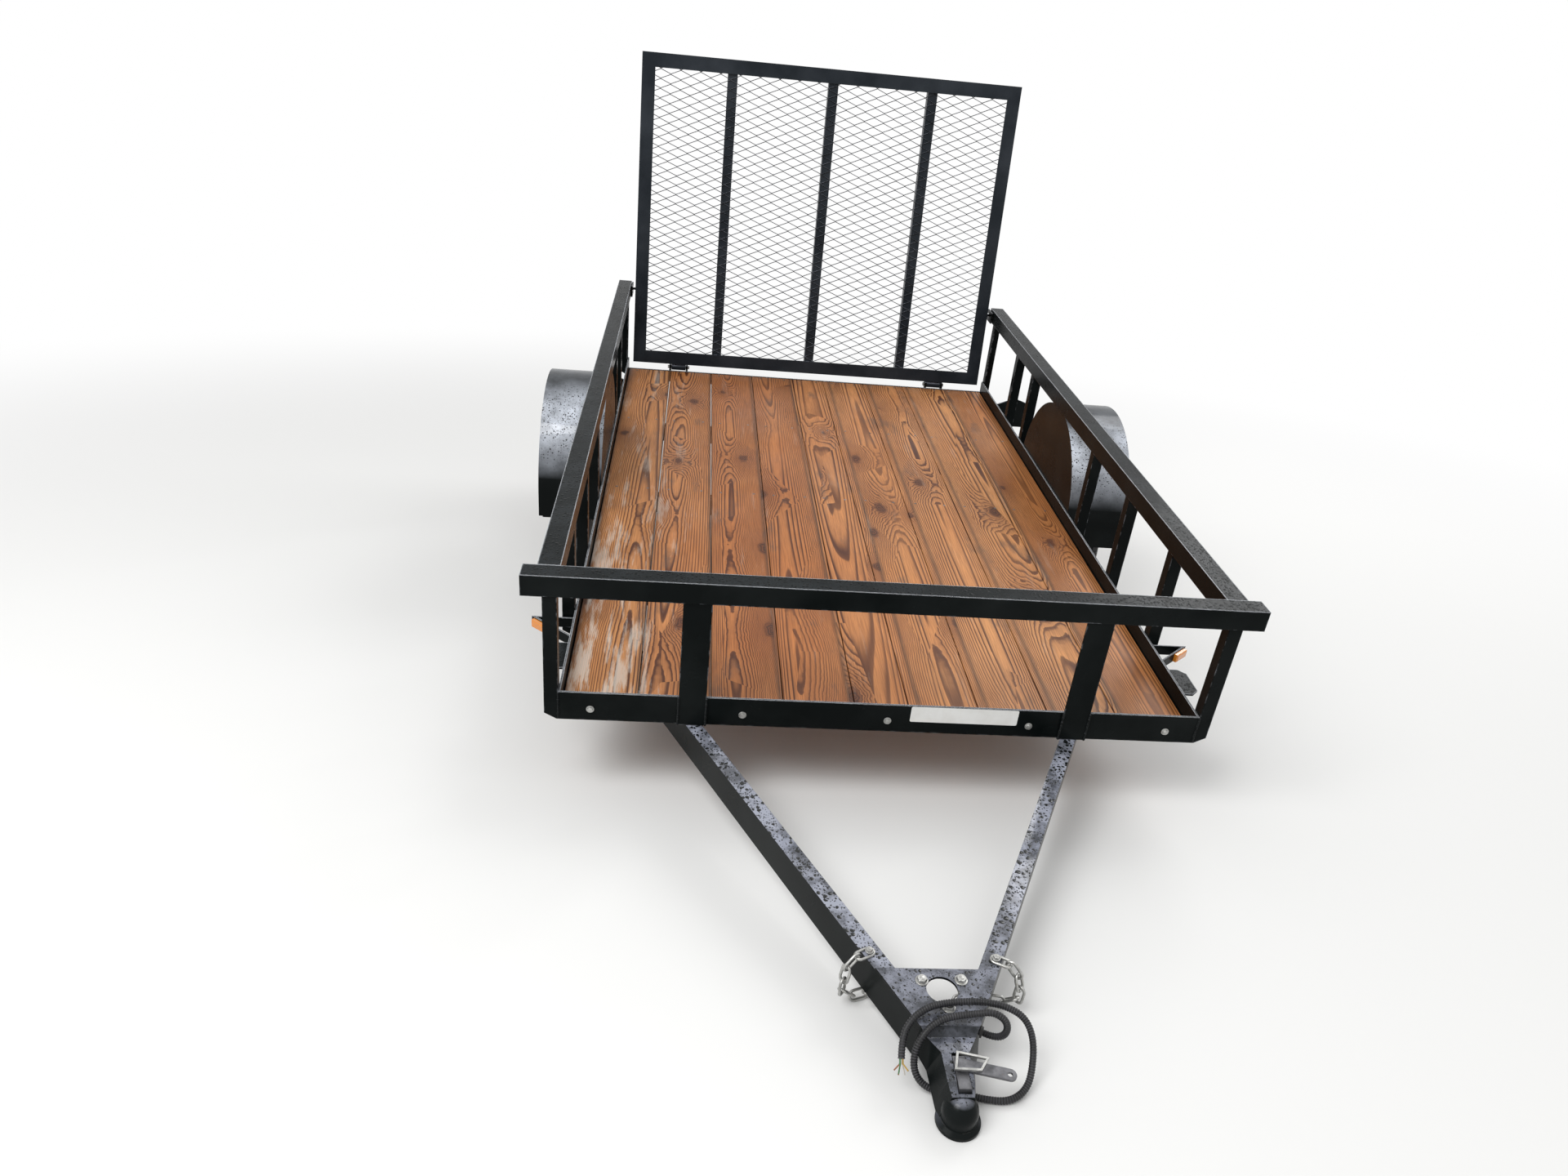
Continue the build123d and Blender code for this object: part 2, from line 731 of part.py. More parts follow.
with BuildPart() as spring_plates:
    for side in (-1, 1):
        for level, thick in ((saddle_z, saddle_thick), (main_top + clamp_gap, clamp_thick)):
            with BuildSketch(Plane.XY.offset(level)):
                with Locations((side * spring_x, axle_y)):
                    Rectangle(spring_width + 2 * clamp_past, clamp_length)
            extrude(amount=thick)
fixed_pieces["spring_plates"] = spring_plates

# ---- wheels ----
bead_out = flange_inside - bead_play
bead_radius = rim_seat_radius + bead_play
flange_top = rim_seat_radius + flange_height
flange_out = flange_inside + flange_thick
barrel_inside = rim_seat_radius - rim_sheet
half_tyre = tyre_width / 2
for side, word in ((-1, "left"), (1, "right")):
    centre = side * wheel_x
    wheel_axis = Axis((centre, axle_y, axle_z), (1, 0, 0))
    hub_plane = Plane(origin=(centre, axle_y, axle_z), x_dir=(side, 0, 0), z_dir=(0, -side, 0))
    lug_plane = Plane(origin=(centre, axle_y, axle_z), x_dir=(0, 1, 0), z_dir=(side, 0, 0))
    side_top = flange_top + flange_height / 8
    side_widest = tyre_radius - shoulder_drop
    with BuildPart() as tyre:
        with BuildSketch(hub_plane):
            with BuildLine():
                Polyline(
                    (-bead_out, bead_radius), (-bead_out, side_top), (-half_tyre, side_widest),
                    (-tread_half, tyre_radius), (tread_half, tyre_radius), (half_tyre, side_widest),
                    (bead_out, side_top), (bead_out, bead_radius), close=True)
            make_face()
        revolve(axis=wheel_axis)
    fixed_pieces["tyre_" + word] = tyre

    with BuildPart() as rim:
        with BuildSketch(hub_plane):
            with BuildLine():
                Polyline(
                    (-flange_out, barrel_inside), (-flange_out, flange_top), (-flange_inside, flange_top),
                    (-flange_inside, rim_seat_radius), (flange_inside, rim_seat_radius),
                    (flange_inside, flange_top), (flange_out, flange_top), (flange_out, barrel_inside),
                    (disc_out + rim_sheet, barrel_inside), (disc_out + rim_sheet, disc_ring_radius),
                    (rim_sheet, disc_pad_radius), (rim_sheet, hub_hole), (0, hub_hole),
                    (0, disc_pad_radius + rim_sheet / 2), (disc_out, disc_ring_radius + rim_sheet / 2),
                    (disc_out, barrel_inside), close=True)
            make_face()
        revolve(axis=wheel_axis)
        with BuildSketch(lug_plane):
            with PolarLocations(lug_circle / 2, lug_count):
                Circle(stud_hole)
        extrude(amount=2 * rim_sheet, both=True, mode=Mode.SUBTRACT)
    fixed_pieces["rim_" + word] = rim

    bore = spindle_radius + hub_play
    seat = -bead_play
    with BuildPart() as hub:
        with BuildSketch(hub_plane):
            with BuildLine():
                Polyline(
                    (-hub_inside, bore), (-hub_inside, hub_barrel), (seat - hub_flange_thick, hub_barrel),
                    (seat - hub_flange_thick, hub_flange_radius), (seat, hub_flange_radius),
                    (seat, hub_barrel), (hub_outside, hub_barrel), (hub_outside, cap_radius),
                    (hub_outside + cap_length, cap_radius), (hub_outside + cap_length, 0),
                    (hub_outside + cap_length - cap_thick, 0),
                    (hub_outside + cap_length - cap_thick, bore), close=True)
            make_face()
        revolve(axis=wheel_axis)
        with BuildSketch(lug_plane.offset(seat - hub_flange_thick / 2)):
            with PolarLocations(lug_circle / 2, lug_count):
                RegularPolygon(stud_radius, 6)
        extrude(amount=stud_reach)
        with BuildSketch(lug_plane.offset(rim_sheet + bead_play)):
            with PolarLocations(lug_circle / 2, lug_count):
                RegularPolygon(nut_radius, 6)
        extrude(amount=nut_height)
    fixed_pieces["hub_" + word] = hub

# ---- fenders ----
fender_drop = fender_bottom - fender_centre_z


def arch(outer, inner):
    """Side view of a band over the wheel, down to the fender's lower edge."""
    with BuildSketch() as band:
        with BuildLine():
            Polyline((-outer, 0), (-outer, fender_drop), (-inner, fender_drop), (-inner, 0))
            ThreePointArc((-inner, 0), (0, inner), (inner, 0))
            Polyline((inner, 0), (inner, fender_drop), (outer, fender_drop), (outer, 0))
            ThreePointArc((outer, 0), (0, outer), (-outer, 0))
        make_face()
    return band.sketch


for side, word in ((-1, "left"), (1, "right")):
    with BuildPart() as fender:
        with BuildSketch(plane_x(side * half, axle_y, fender_centre_z)):
            add(arch(fender_radius, fender_radius - fender_sheet))
        extrude(amount=side * fender_width)
        with BuildSketch(plane_x(side * (half + fender_width), axle_y, fender_centre_z)):
            add(arch(fender_radius, fender_radius - fender_lip))
        extrude(amount=-side * fender_sheet)
        with BuildSketch(plane_x(side * half, axle_y, fender_centre_z)):
            with BuildLine():
                Polyline(
                    (-fender_radius, 0), (-fender_radius, fender_drop), (fender_radius, fender_drop),
                    (fender_radius, 0))
                ThreePointArc((fender_radius, 0), (0, fender_radius), (-fender_radius, 0))
            make_face()
        extrude(amount=side * fender_sheet)
        # flat stays under the lower edges, front and rear
        for end in (-1, 1):
            with BuildSketch(plane_x(side * half, axle_y + end * (fender_radius - stay_width / 2), fender_bottom)):
                Rectangle(stay_width, stay_thick, align=(Align.CENTER, Align.MAX))
            extrude(amount=side * (fender_width - fender_lip))
    fixed_pieces["fender_" + word] = fender

# ---- lamps and side brackets ----
marker_lamps = []
for side, word in ((-1, "left"), (1, "right")):
    tip = side * (half + marker_reach)
    corner = Vector(tip, marker_rear, marker_z + marker_strip / 2)
    back = (Vector(side * half, marker_front, corner.Z) - corner).normalized()
    front_face = back.rotate(Axis.Z, side * 90)
    with BuildPart() as marker_bracket:
        with BuildSketch(Plane.XY.offset(marker_z)):
            with BuildLine():
                Polyline(
                    (side * half, marker_rear), (tip, marker_rear),
                    (side * half, marker_front), (side * half, marker_front + 1.4 * strip_thick),
                    (tip - side * 3.4 * strip_thick, marker_rear - strip_thick),
                    (side * half, marker_rear - strip_thick), close=True)
            make_face()
        extrude(amount=marker_strip)
    fixed_pieces["marker_bracket_" + word] = marker_bracket
    along, tall, deep = marker_lamp
    with BuildPart() as lens:
        with BuildSketch(Plane(origin=corner + back * marker_lamp_along, x_dir=back, z_dir=front_face)):
            Rectangle(along, tall)
        extrude(amount=deep)
        chamfer(lens.faces().sort_by(Axis(corner, front_face))[-1].edges(), lens_chamfer)
    marker_lamps.append(lens.part)

with BuildPart() as marker_lamp_pair:
    add(marker_lamps)
fixed_pieces["marker_lamps"] = marker_lamp_pair

with BuildPart() as tail_brackets:
    for side in (-1, 1):
        at_frame, peak, at_edge = tail_heights
        with BuildSketch(plane_y(tail_y + tail_plate_thick)):
            with BuildLine():
                Polyline(
                    (side * half, tail_low), (side * (half + tail_reach), tail_low),
                    (side * (half + tail_reach), at_edge), (side * (half + tail_peak), peak),
                    (side * half, at_frame), close=True)
            make_face()
        extrude(amount=tail_plate_thick)
fixed_pieces["tail_brackets"] = tail_brackets

lamp_wide, lamp_tall, lamp_deep = tail_lamp
with BuildPart() as tail_lamps:
    with BuildSketch(plane_y(tail_y + tail_plate_thick + lamp_deep, 0, tail_lamp_z)):
        with Locations((-half - tail_peak, 0), (half + tail_peak, 0)):
            RectangleRounded(lamp_wide, lamp_tall, 2 * lens_chamfer)
    extrude(amount=lamp_deep)
fixed_pieces["tail_lamps"] = tail_lamps

with BuildPart() as tie_plates:
    with BuildSketch(Plane.XY.offset(tie_plate_z)):
        for side in (-1, 1):
            outer = side * (half + tie_plate_reach)
            inner_corner = outer - side * tie_plate_corner
            rear = tie_plate_front + tie_plate_length
            with BuildLine():
                Polyline(
                    (side * half, tie_plate_front), (inner_corner, tie_plate_front),
                    (outer, tie_plate_front + tie_plate_corner), (outer, rear - tie_plate_corner),
                    (inner_corner, rear), (side * half, rear), close=True)
            make_face()
    extrude(amount=steel)
fixed_pieces["tie_plates"] = tie_plates

# ---- gate hinges ----
lug_reach = hinge_y - frame_length
with BuildPart() as hinge_lugs:
    for side in (-1, 1):
        for face in (-1, 1):
            place = side * hinge_x + face * (barrel_half + lug_gap + lug_thick / 2) - lug_thick / 2
            with BuildSketch(plane_x(place, frame_length, 0)):
                with BuildLine():
                    Polyline((0, 4), (0, hinge_z + barrel_radius), (lug_reach, hinge_z + barrel_radius))
                    ThreePointArc(
                        (lug_reach, hinge_z + barrel_radius), (lug_reach + barrel_radius, hinge_z),
                        (lug_reach, hinge_z - barrel_radius))
                    Line((lug_reach, hinge_z - barrel_radius), (0, 4))
                make_face()
                with Locations((lug_reach, hinge_z)):
                    Circle(hinge_pin_radius + hub_play, mode=Mode.SUBTRACT)
            extrude(amount=lug_thick)
fixed_pieces["hinge_lugs"] = hinge_lugs

with BuildPart() as hinge_pins:
    pin_half = barrel_half + lug_gap + lug_thick + hinge_pin_radius
    for side in (-1, 1):
        with BuildSketch(plane_x(side * hinge_x - pin_half, hinge_y, hinge_z)):
            Circle(hinge_pin_radius)
        extrude(amount=2 * pin_half)
fixed_pieces["hinge_pins"] = hinge_pins

# ---- ramp gate, drawn upright ----
gate_half = gate_width / 2
gate_top = gate_bottom + gate_height
stud_y = gate_front + gate_leg / 2
with BuildPart() as gate_frame:
    for level, turn in ((gate_bottom, 1), (gate_top, -1)):
        with BuildSketch(plane_x(-gate_half, gate_front, level)):
            add(angle_section(gate_leg, turn * gate_leg, steel))
        extrude(amount=gate_width)
    for side in (-1, 1):
        with BuildSketch(Plane(origin=(side * gate_half, gate_front, gate_bottom))):
            add(angle_section(-side * gate_leg, gate_leg, steel))
        extrude(amount=gate_height)
        with BuildSketch(plane_x(side * gate_half, stud_y, hinge_z + latch_height)):
            Circle(latch_stud_radius)
        extrude(amount=side * latch_stud_length)
        with BuildSketch(plane_x(side * hinge_x - barrel_half, hinge_y, hinge_z)):
            Circle(barrel_radius)
            with Locations((0, (gate_bottom - hinge_z) / 2)):
                Rectangle(barrel_radius, gate_bottom - hinge_z)
            Circle(hinge_pin_radius + hinge_play, mode=Mode.SUBTRACT)
        extrude(amount=2 * barrel_half)
gate_pieces["gate_frame"] = gate_frame

# Expanded metal: two layers of slanting strands, crossing at the diamonds'
# corners and joined by a band round the sheet's edge.
sheet_wide = gate_width - 2 * (gate_leg - mesh_margin)
sheet_high = gate_height - 2 * (gate_leg - mesh_margin)
sheet_front = gate_front + steel + mesh_seat
strand_pitch = mesh_long * mesh_short / sqrt(mesh_long ** 2 + mesh_short ** 2)
strand_turn = degrees(atan2(mesh_short, mesh_long))
strand_length = sheet_wide + sheet_high
strand_count = 2 * int(strand_length / strand_pitch / 2)
with BuildPart() as gate_mesh:
    for layer, turn in enumerate((strand_turn, -strand_turn)):
        layer_back = sheet_front + layer * (mesh_layer + mesh_layer_gap) + mesh_layer
        with BuildSketch(plane_y(layer_back, 0, gate_bottom + gate_height / 2)):
            with Locations(Location((0, 0, 0), (0, 0, turn))):
                with GridLocations(0, strand_pitch, 1, strand_count):
                    Rectangle(strand_length, mesh_strand)
            Rectangle(sheet_wide, sheet_high, mode=Mode.INTERSECT)
        extrude(amount=mesh_layer)
    with BuildSketch(plane_y(layer_back, 0, gate_bottom + gate_height / 2)):
        Rectangle(sheet_wide, sheet_high)
        Rectangle(sheet_wide - 2 * mesh_band, sheet_high - 2 * mesh_band, mode=Mode.SUBTRACT)
    extrude(amount=layer_back - sheet_front)
gate_pieces["gate_mesh"] = gate_mesh

bar_front = layer_back + mesh_seat
with BuildPart() as gate_bars:
    for place in (-gate_bar_spacing, 0, gate_bar_spacing):
        with BuildSketch(Plane(origin=(place - gate_bar_width / 2, bar_front, gate_bottom + steel))):
            add(angle_section(gate_bar_width, gate_bar_leg, bar_thick))
        extrude(amount=gate_height - 2 * steel)
gate_pieces["gate_bars"] = gate_bars

# keepers on the side rails: each slot is open to the rear and holds a stud of the gate
stud_at = gate_turn * Location((0, stud_y, hinge_z + latch_height))
with BuildPart() as latch_keepers:
    rail_end = frame_length + rail_overhang
    for side in (-1, 1):
        with BuildSketch(plane_x(side * rail_inner, 0, stud_at.position.Z)):
            with Locations(((2 * rail_end - keeper_front + keeper_rear) / 2, 0)):
                Rectangle(keeper_front + keeper_rear, keeper_height)
            with Locations((stud_at.position.Y, 0)):
                Rectangle(keeper_slot, keeper_slot)
            with Locations((stud_at.position.Y + keeper_rear, 0)):
                Rectangle(2 * keeper_rear, keeper_slot, mode=Mode.SUBTRACT)
            with Locations((stud_at.position.Y, 0)):
                Rectangle(keeper_slot, keeper_slot, mode=Mode.SUBTRACT)
        extrude(amount=-side * keeper_thick)
fixed_pieces["latch_keepers"] = latch_keepers

placed = {}
for name, piece in fixed_pieces.items():
    placed[name] = nose_down * piece.part
for name, piece in gate_pieces.items():
    placed[name] = nose_down * gate_turn * piece.part
boxes = [solid.bounding_box() for solid in placed.values()]
middle = (min(b.min.Y for b in boxes) + max(b.max.Y for b in boxes)) / 2
to_origin = Location((0, -middle, 0))


def parked(x, y, z):
    point = to_origin * nose_down * Location((x, y, z))
    return tuple(round(v, 3) for v in point.position)


for name, solid in placed.items():
    finished = to_origin * solid
    finished.label = name
    export_step(finished, f"parts/{name}.step")

hinge_at = parked(0, hinge_y, hinge_z)
gate_reach = gate_top - hinge_z
gate_depth = gate_front + gate_leg - hinge_y
reach = sqrt(gate_reach ** 2 + gate_depth ** 2)
down = degrees(asin((hinge_at[2] - gate_floor_gap) / reach)) - degrees(atan2(gate_depth, gate_reach))
gate_open = 90 + down - (gate_lean - pitch)
print("axle", parked(wheel_x, axle_y, axle_z), "hinge", hinge_at, "gate opens", round(gate_open, 2))
print("floor", min(b.min.Z for b in boxes), "size", [round(v, 1) for v in (
    max(b.max.X for b in boxes) - min(b.min.X for b in boxes),
    max(b.max.Y for b in boxes) - min(b.min.Y for b in boxes), max(b.max.Z for b in boxes))])
print("middle", middle)
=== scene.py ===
from math import cos, pi, radians, sin, tau

import bmesh
import bpy
from mathutils import Matrix, Vector


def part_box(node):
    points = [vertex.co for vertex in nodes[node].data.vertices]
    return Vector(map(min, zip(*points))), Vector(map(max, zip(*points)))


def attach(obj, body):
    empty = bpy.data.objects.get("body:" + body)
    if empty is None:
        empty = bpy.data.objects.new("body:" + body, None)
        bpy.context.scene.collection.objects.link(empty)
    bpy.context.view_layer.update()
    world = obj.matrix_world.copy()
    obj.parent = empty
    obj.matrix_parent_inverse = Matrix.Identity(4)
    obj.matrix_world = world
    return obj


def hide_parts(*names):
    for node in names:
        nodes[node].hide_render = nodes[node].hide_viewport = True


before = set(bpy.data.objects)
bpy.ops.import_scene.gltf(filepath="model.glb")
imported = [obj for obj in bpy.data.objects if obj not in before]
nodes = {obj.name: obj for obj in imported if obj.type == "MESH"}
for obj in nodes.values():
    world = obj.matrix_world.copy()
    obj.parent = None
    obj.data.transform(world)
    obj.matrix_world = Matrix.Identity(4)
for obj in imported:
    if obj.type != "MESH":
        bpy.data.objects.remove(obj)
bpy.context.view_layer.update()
scene = bpy.context.scene
sides = (("left", -1), ("right", 1))

# the trailer is drawn level and then leans on its coupler: these turn its level places into parked ones
parking = {"noseDown": 7.24125, "origin": (0.0, -0.74194, 0.19551), "gateLean": 0.64125,
           "hinge": (0.0, 1.689677, 0.546806), "hingeLevel": (0.0, 2.4565, 0.042)}
parked = Matrix.Translation(parking["origin"]) @ Matrix.Rotation(radians(parking["noseDown"]), 4, "X")
upright = (Matrix.Translation(parking["hinge"]) @ Matrix.Rotation(radians(parking["gateLean"]), 4, "X")
           @ Matrix.Translation(-Vector(parking["hingeLevel"])))


def parkedPlace(x, y, z):
    return parked @ Vector((x, y, z))


def parkedWay(x, y, z):
    return parked.to_3x3() @ Vector((x, y, z))


def placeObject(name, data):
    made = bpy.data.objects.new(name, data)
    scene.collection.objects.link(made)
    return made


view = {"place": (-0.49755, -2.99672, 1.46773), "right": (0.99428, -0.068326, 0.082085),
        "up": (-0.050016, 0.381199, 0.923139), "lens": 25.182, "sensor": 36.0}


def aimCamera(settings):
    camera = placeObject("camera", bpy.data.cameras.new("camera"))
    right, up = Vector(settings["right"]), Vector(settings["up"])
    turn = Matrix((right, up, right.cross(up))).transposed().to_4x4()
    camera.matrix_world = Matrix.Translation(settings["place"]) @ turn
    camera.data.lens = settings["lens"]
    camera.data.sensor_width = settings["sensor"]
    scene.camera = camera


aimCamera(view)
print("camera set")


# small tools for node trees: a node joins the tree of the sockets that feed it
def feed(node, values):
    for name, value in values.items():
        if isinstance(value, bpy.types.NodeSocket):
            node.id_data.links.new(value, node.inputs[name])
        else:
            node.inputs[name].default_value = value


def addNode(kind, values=None, tree=None, **settings):
    values = values or {}
    if tree is None:
        tree = next(value.id_data for value in values.values() if isinstance(value, bpy.types.NodeSocket))
    made = tree.nodes.new(kind)
    for name, value in settings.items():
        setattr(made, name, value)
    feed(made, values)
    return made


def maths(operation, first, second=0.0, third=0.0):
    return addNode("ShaderNodeMath", {0: first, 1: second, 2: third}, operation=operation).outputs[0]


def times(*factors):
    result = factors[0]
    for factor in factors[1:]:
        result = maths("MULTIPLY", result, factor)
    return result


def scaled(value, factor, offset):
    return maths("MULTIPLY_ADD", value, factor, offset)


def vectors(operation, first, second=None):
    given = {0: first}
    if second is not None:
        given[3 if operation == "SCALE" else 1] = second
    made = addNode("ShaderNodeVectorMath", given, operation=operation)
    return made.outputs["Value" if operation in ("LENGTH", "DOT_PRODUCT") else 0]


def combine(x=0.0, y=0.0, z=0.0):
    return addNode("ShaderNodeCombineXYZ", {0: x, 1: y, 2: z}).outputs[0]


def separate(vector):
    return addNode("ShaderNodeSeparateXYZ", {0: vector}).outputs


def channels(colour):
    return addNode("ShaderNodeSeparateColor", {0: colour}).outputs


def mapRange(value, fromLow, fromHigh, low=0.0, high=1.0, **settings):
    given = {0: value, 1: fromLow, 2: fromHigh, 3: low, 4: high}
    return addNode("ShaderNodeMapRange", given, **settings).outputs[0]


def colourMix(share, first, second):
    first, second = ((*colour, 1) if isinstance(colour, tuple) else colour for colour in (first, second))
    return addNode("ShaderNodeMix", {0: share, 6: first, 7: second}, data_type="RGBA").outputs[2]


def ramp(value, *stops, easing="LINEAR"):
    # each stop is a place with a grey or a colour
    made = addNode("ShaderNodeValToRGB", {"Fac": value})
    made.color_ramp.interpolation = easing
    while len(made.color_ramp.elements) < len(stops):
        made.color_ramp.elements.new(0.5)
    for element, (place, colour) in zip(made.color_ramp.elements, stops):
        element.position = place
        element.color = (*colour, 1) if isinstance(colour, tuple) else (colour, colour, colour, 1)
    return made.outputs[0]


def rise(value, low, high):
    return ramp(value, (low, 0.0), (high, 1.0))


def noise(place, scale, detail=3.0, rough=0.55, stretch=(1, 1, 1), seed=0.0):
    moved = addNode("ShaderNodeMapping", {
        "Vector": place, "Scale": stretch, "Location": (seed, seed * 0.7, seed * 1.3)})
    return addNode("ShaderNodeTexNoise", {
        "Vector": moved.outputs[0], "Scale": scale, "Detail": detail, "Roughness": rough}).outputs[0]


def newMaterial(name):
    made = bpy.data.materials.new(name)
    made.use_nodes = True
    tree = made.node_tree
    return made, tree.nodes["Principled BSDF"], addNode("ShaderNodeTexCoord", tree=tree).outputs["Object"]


def roundedBump(shader, height, edge, strength, depth):
    # relief over edges that catch the light as if rounded
    soft = addNode("ShaderNodeBevel", {"Radius": edge}, shader.id_data, samples=4).outputs[0]
    bump = addNode("ShaderNodeBump", {
        "Height": height, "Strength": strength, "Distance": depth, "Normal": soft}).outputs[0]
    feed(shader, {"Normal": bump})
    return soft, bump


# small tools for meshes
def meshObject(name, build, material=None, smooth=None, outward=True):
    work = bmesh.new()
    build(work)
    if outward:
        bmesh.ops.recalc_face_normals(work, faces=work.faces)
    mesh = bpy.data.meshes.new(name)
    work.to_mesh(mesh)
    work.free()
    if smooth is not None:
        mesh.shade_smooth()
        mesh.set_sharp_from_angle(angle=radians(smooth))
    if material:
        mesh.materials.append(material)
    return placeObject(name, mesh)


def ringOf(work, count, spot, start=0.0):
    # spot gives a corner's place for its turn round the ring
    return [work.verts.new(spot(tau * (k + start) / count)) for k in range(count)]


def bridge(work, rings, closed=False):
    for here, there in zip(rings, rings[1:] + rings[:1] if closed else rings[1:]):
        for k in range(len(here)):
            after = (k + 1) % len(here)
            work.faces.new((here[k], here[after], there[after], there[k]))


def boxMiddle(node):
    return [(low + high) / 2 for low, high in zip(*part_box(node))]


loomValues = {
    "diameter": 0.013, "grooveDepth": 0.0009, "ribPitch": 0.0046, "ribWidth": 0.0026, "length": 0.921,
    "route": (
        (0.06907, -1.54454, 0.05421), (0.09, -1.5559, 0.0525), (0.104, -1.568, 0.075),
        (0.0985, -1.5703, 0.106), (0.072, -1.56737, 0.12288), (0.041, -1.56425, 0.11421),
        (0.005, -1.56585, 0.11098), (-0.025, -1.57565, 0.10873), (-0.05, -1.59125, 0.09666),
        (-0.065, -1.6026, 0.067), (-0.064, -1.61469, 0.03522), (-0.046, -1.62619, 0.0146),
        (-0.014, -1.63123, 0.00671), (0.02, -1.634, 0.007), (0.06, -1.647, 0.0071),
        (0.1, -1.65, 0.0072), (0.134, -1.629, 0.0145), (0.15, -1.593, 0.0353),
        (0.153, -1.56415, 0.06583), (0.138, -1.54746, 0.09315), (0.106, -1.54154, 0.11004),
        (0.072, -1.53721, 0.11563), (0.034, -1.5351, 0.11489), (-0.003, -1.53907, 0.11438),
        (-0.037, -1.55036, 0.11597), (-0.068, -1.56721, 0.10577), (-0.086, -1.58849, 0.0829),
        (-0.088, -1.61214, 0.06276)),
}


def routeCurve(name, points, radius):
    curve = bpy.data.curves.new(name, "CURVE")
    curve.dimensions = "3D"
    line = curve.splines.new("NURBS")
    line.points.add(len(points) - 1)
    for point, place in zip(line.points, points):
        point.co = (*place, 1)
    line.order_u = 3
    line.use_endpoint_u = True
    line.resolution_u = 12
    curve.bevel_depth = radius
    curve.bevel_resolution = 5
    curve.use_fill_caps = True
    return placeObject(name, curve)


loomCord = routeCurve("wiringLoom", loomValues["route"], loomValues["diameter"] / 2 - loomValues["grooveDepth"])
print("loom laid")


def wetBlackPaint(name, values):
    # gloss enamel; what looks up carries a painted reflection of the pale sky in its rain film, broken by dark
    # beads
    made, shader, place = newMaterial(name)
    upward = separate(place.node.outputs["Normal"])[2]
    sloped = mapRange(upward, values["wetReflectionFrom"], values["wetReflectionTo"])
    facing = times(sloped, mapRange(upward, values["flatFrom"], 0.97, 1.0, values["flatShare"]))
    wobble = addNode("ShaderNodeTexNoise", {
        "Vector": place, "Scale": values["beadScale"] * 0.8, "Detail": 1.0})
    bent = vectors("ADD", place, vectors("SCALE", wobble.outputs["Color"], 0.6 / values["beadScale"]))
    domes = []
    for scale in (values["beadScale"], values["beadScale"] * 2.3):
        cells = addNode("ShaderNodeTexVoronoi", {"Vector": bent, "Scale": scale, "Randomness": 1.0})
        reach = scaled(channels(cells.outputs["Color"])[0], values["beadSize"], 0.02)
        height = maths("SUBTRACT", 1.0, maths("DIVIDE", cells.outputs["Distance"], reach))
        domes.append(maths("SQRT", maths("MAXIMUM", height, 0.0)))
    beads = times(maths("MAXIMUM", domes[0], times(domes[1], 0.6)), facing)
    patches = ramp(noise(place, values["patchScale"], 5.0, 0.65, seed=1.0), (0.4, 0.25), (0.58, 1.0))
    orangePeel = noise(place, values["peelScale"], 2.0, seed=5.0)
    relief = scaled(orangePeel, values["peel"], beads)
    soft, bump = roundedBump(shader, relief, values["edge"], values["bump"], values["beadDepth"])
    # paint rubbed thin on sharp edges
    bare = addNode("ShaderNodeNewGeometry", tree=made.node_tree).outputs["Normal"]
    apart = vectors("DOT_PRODUCT", soft, bare)
    marks = noise(place, values["rubScale"], 4.0, seed=8.0)
    rub = times(ramp(apart, (0.9, 1.0), (0.985, 0.0)), rise(marks, 0.5, 0.62))
    dusty = rise(noise(place, values["dustScale"], 4.0, seed=2.0), 0.4, 0.72)
    enamel = colourMix(dusty, values["colour"], values["dusty"])
    between = maths("SUBTRACT", 1.0, rise(beads, 0.05, 0.35))
    # painted reflection: a pale sky colour laid over the faces that look up, in patches, and left out where the
    # beads sit
    paintedReflection = times(facing, patches, between, values["paintedReflectionShare"])
    reflectedEnamel = colourMix(paintedReflection, enamel, values["paintedReflection"])
    worn = colourMix(times(rub, 0.5), reflectedEnamel, values["rubbed"])
    # painted highlight: a bright line along the edges that look up
    tipped = rise(separate(soft)[2], 0.45, 0.6)
    edgeHighlight = times(ramp(apart, (0.93, 1.0), (0.985, 0.0)), tipped, values["edgeHighlight"])
    smears = noise(place, values["smearScale"], 4.0, seed=4.0)
    feed(shader, {
        "Base Color": colourMix(edgeHighlight, worn, values["edgeHighlightColour"]),
        "Roughness": scaled(rub, 0.25, scaled(smears, values["roughSpread"], values["rough"])),
        "Coat Normal": bump, "Coat Roughness": 0.05, "Specular IOR Level": values["sheen"],
        "Coat Weight": ramp(facing, (0.0, values["dryGloss"]), (1.0, values["wetGloss"]))})
    return made


# the film colour is a painted sky reflection on faces that look up; the brim colour is a painted bright line along
# upturned edges
paintBase = {
    "colour": (0.0035, 0.0048, 0.0048), "dusty": (0.009, 0.011, 0.011), "rubbed": (0.16, 0.15, 0.14),
    "paintedReflection": (0.45, 0.475, 0.57), "paintedReflectionShare": 0.72, "edgeHighlightColour": (0.8, 0.83, 0.88), "edgeHighlight": 0.0,
    "wetReflectionFrom": 0.3, "wetReflectionTo": 0.85, "flatFrom": 0.7, "flatShare": 1.0, "rough": 0.14, "roughSpread": 0.22,
    "sheen": 0.06, "dryGloss": 0.01, "wetGloss": 0.85, "beadScale": 92.0, "beadSize": 0.52, "beadDepth": 0.0014,
    "patchScale": 16.0, "peelScale": 330.0, "rubScale": 38.0, "dustScale": 5.5, "smearScale": 14.0,
    "bump": 0.8, "peel": 0.05, "edge": 0.0014}
blackPaint = wetBlackPaint("blackPaint", paintBase)
gateFramePaint = wetBlackPaint("gatePaint", {
    **paintBase, "colour": (0.012, 0.016, 0.021), "dusty": (0.03, 0.036, 0.044), "rough": 0.22, "dryGloss": 0.1,
    "rubbed": (0.42, 0.45, 0.5)})
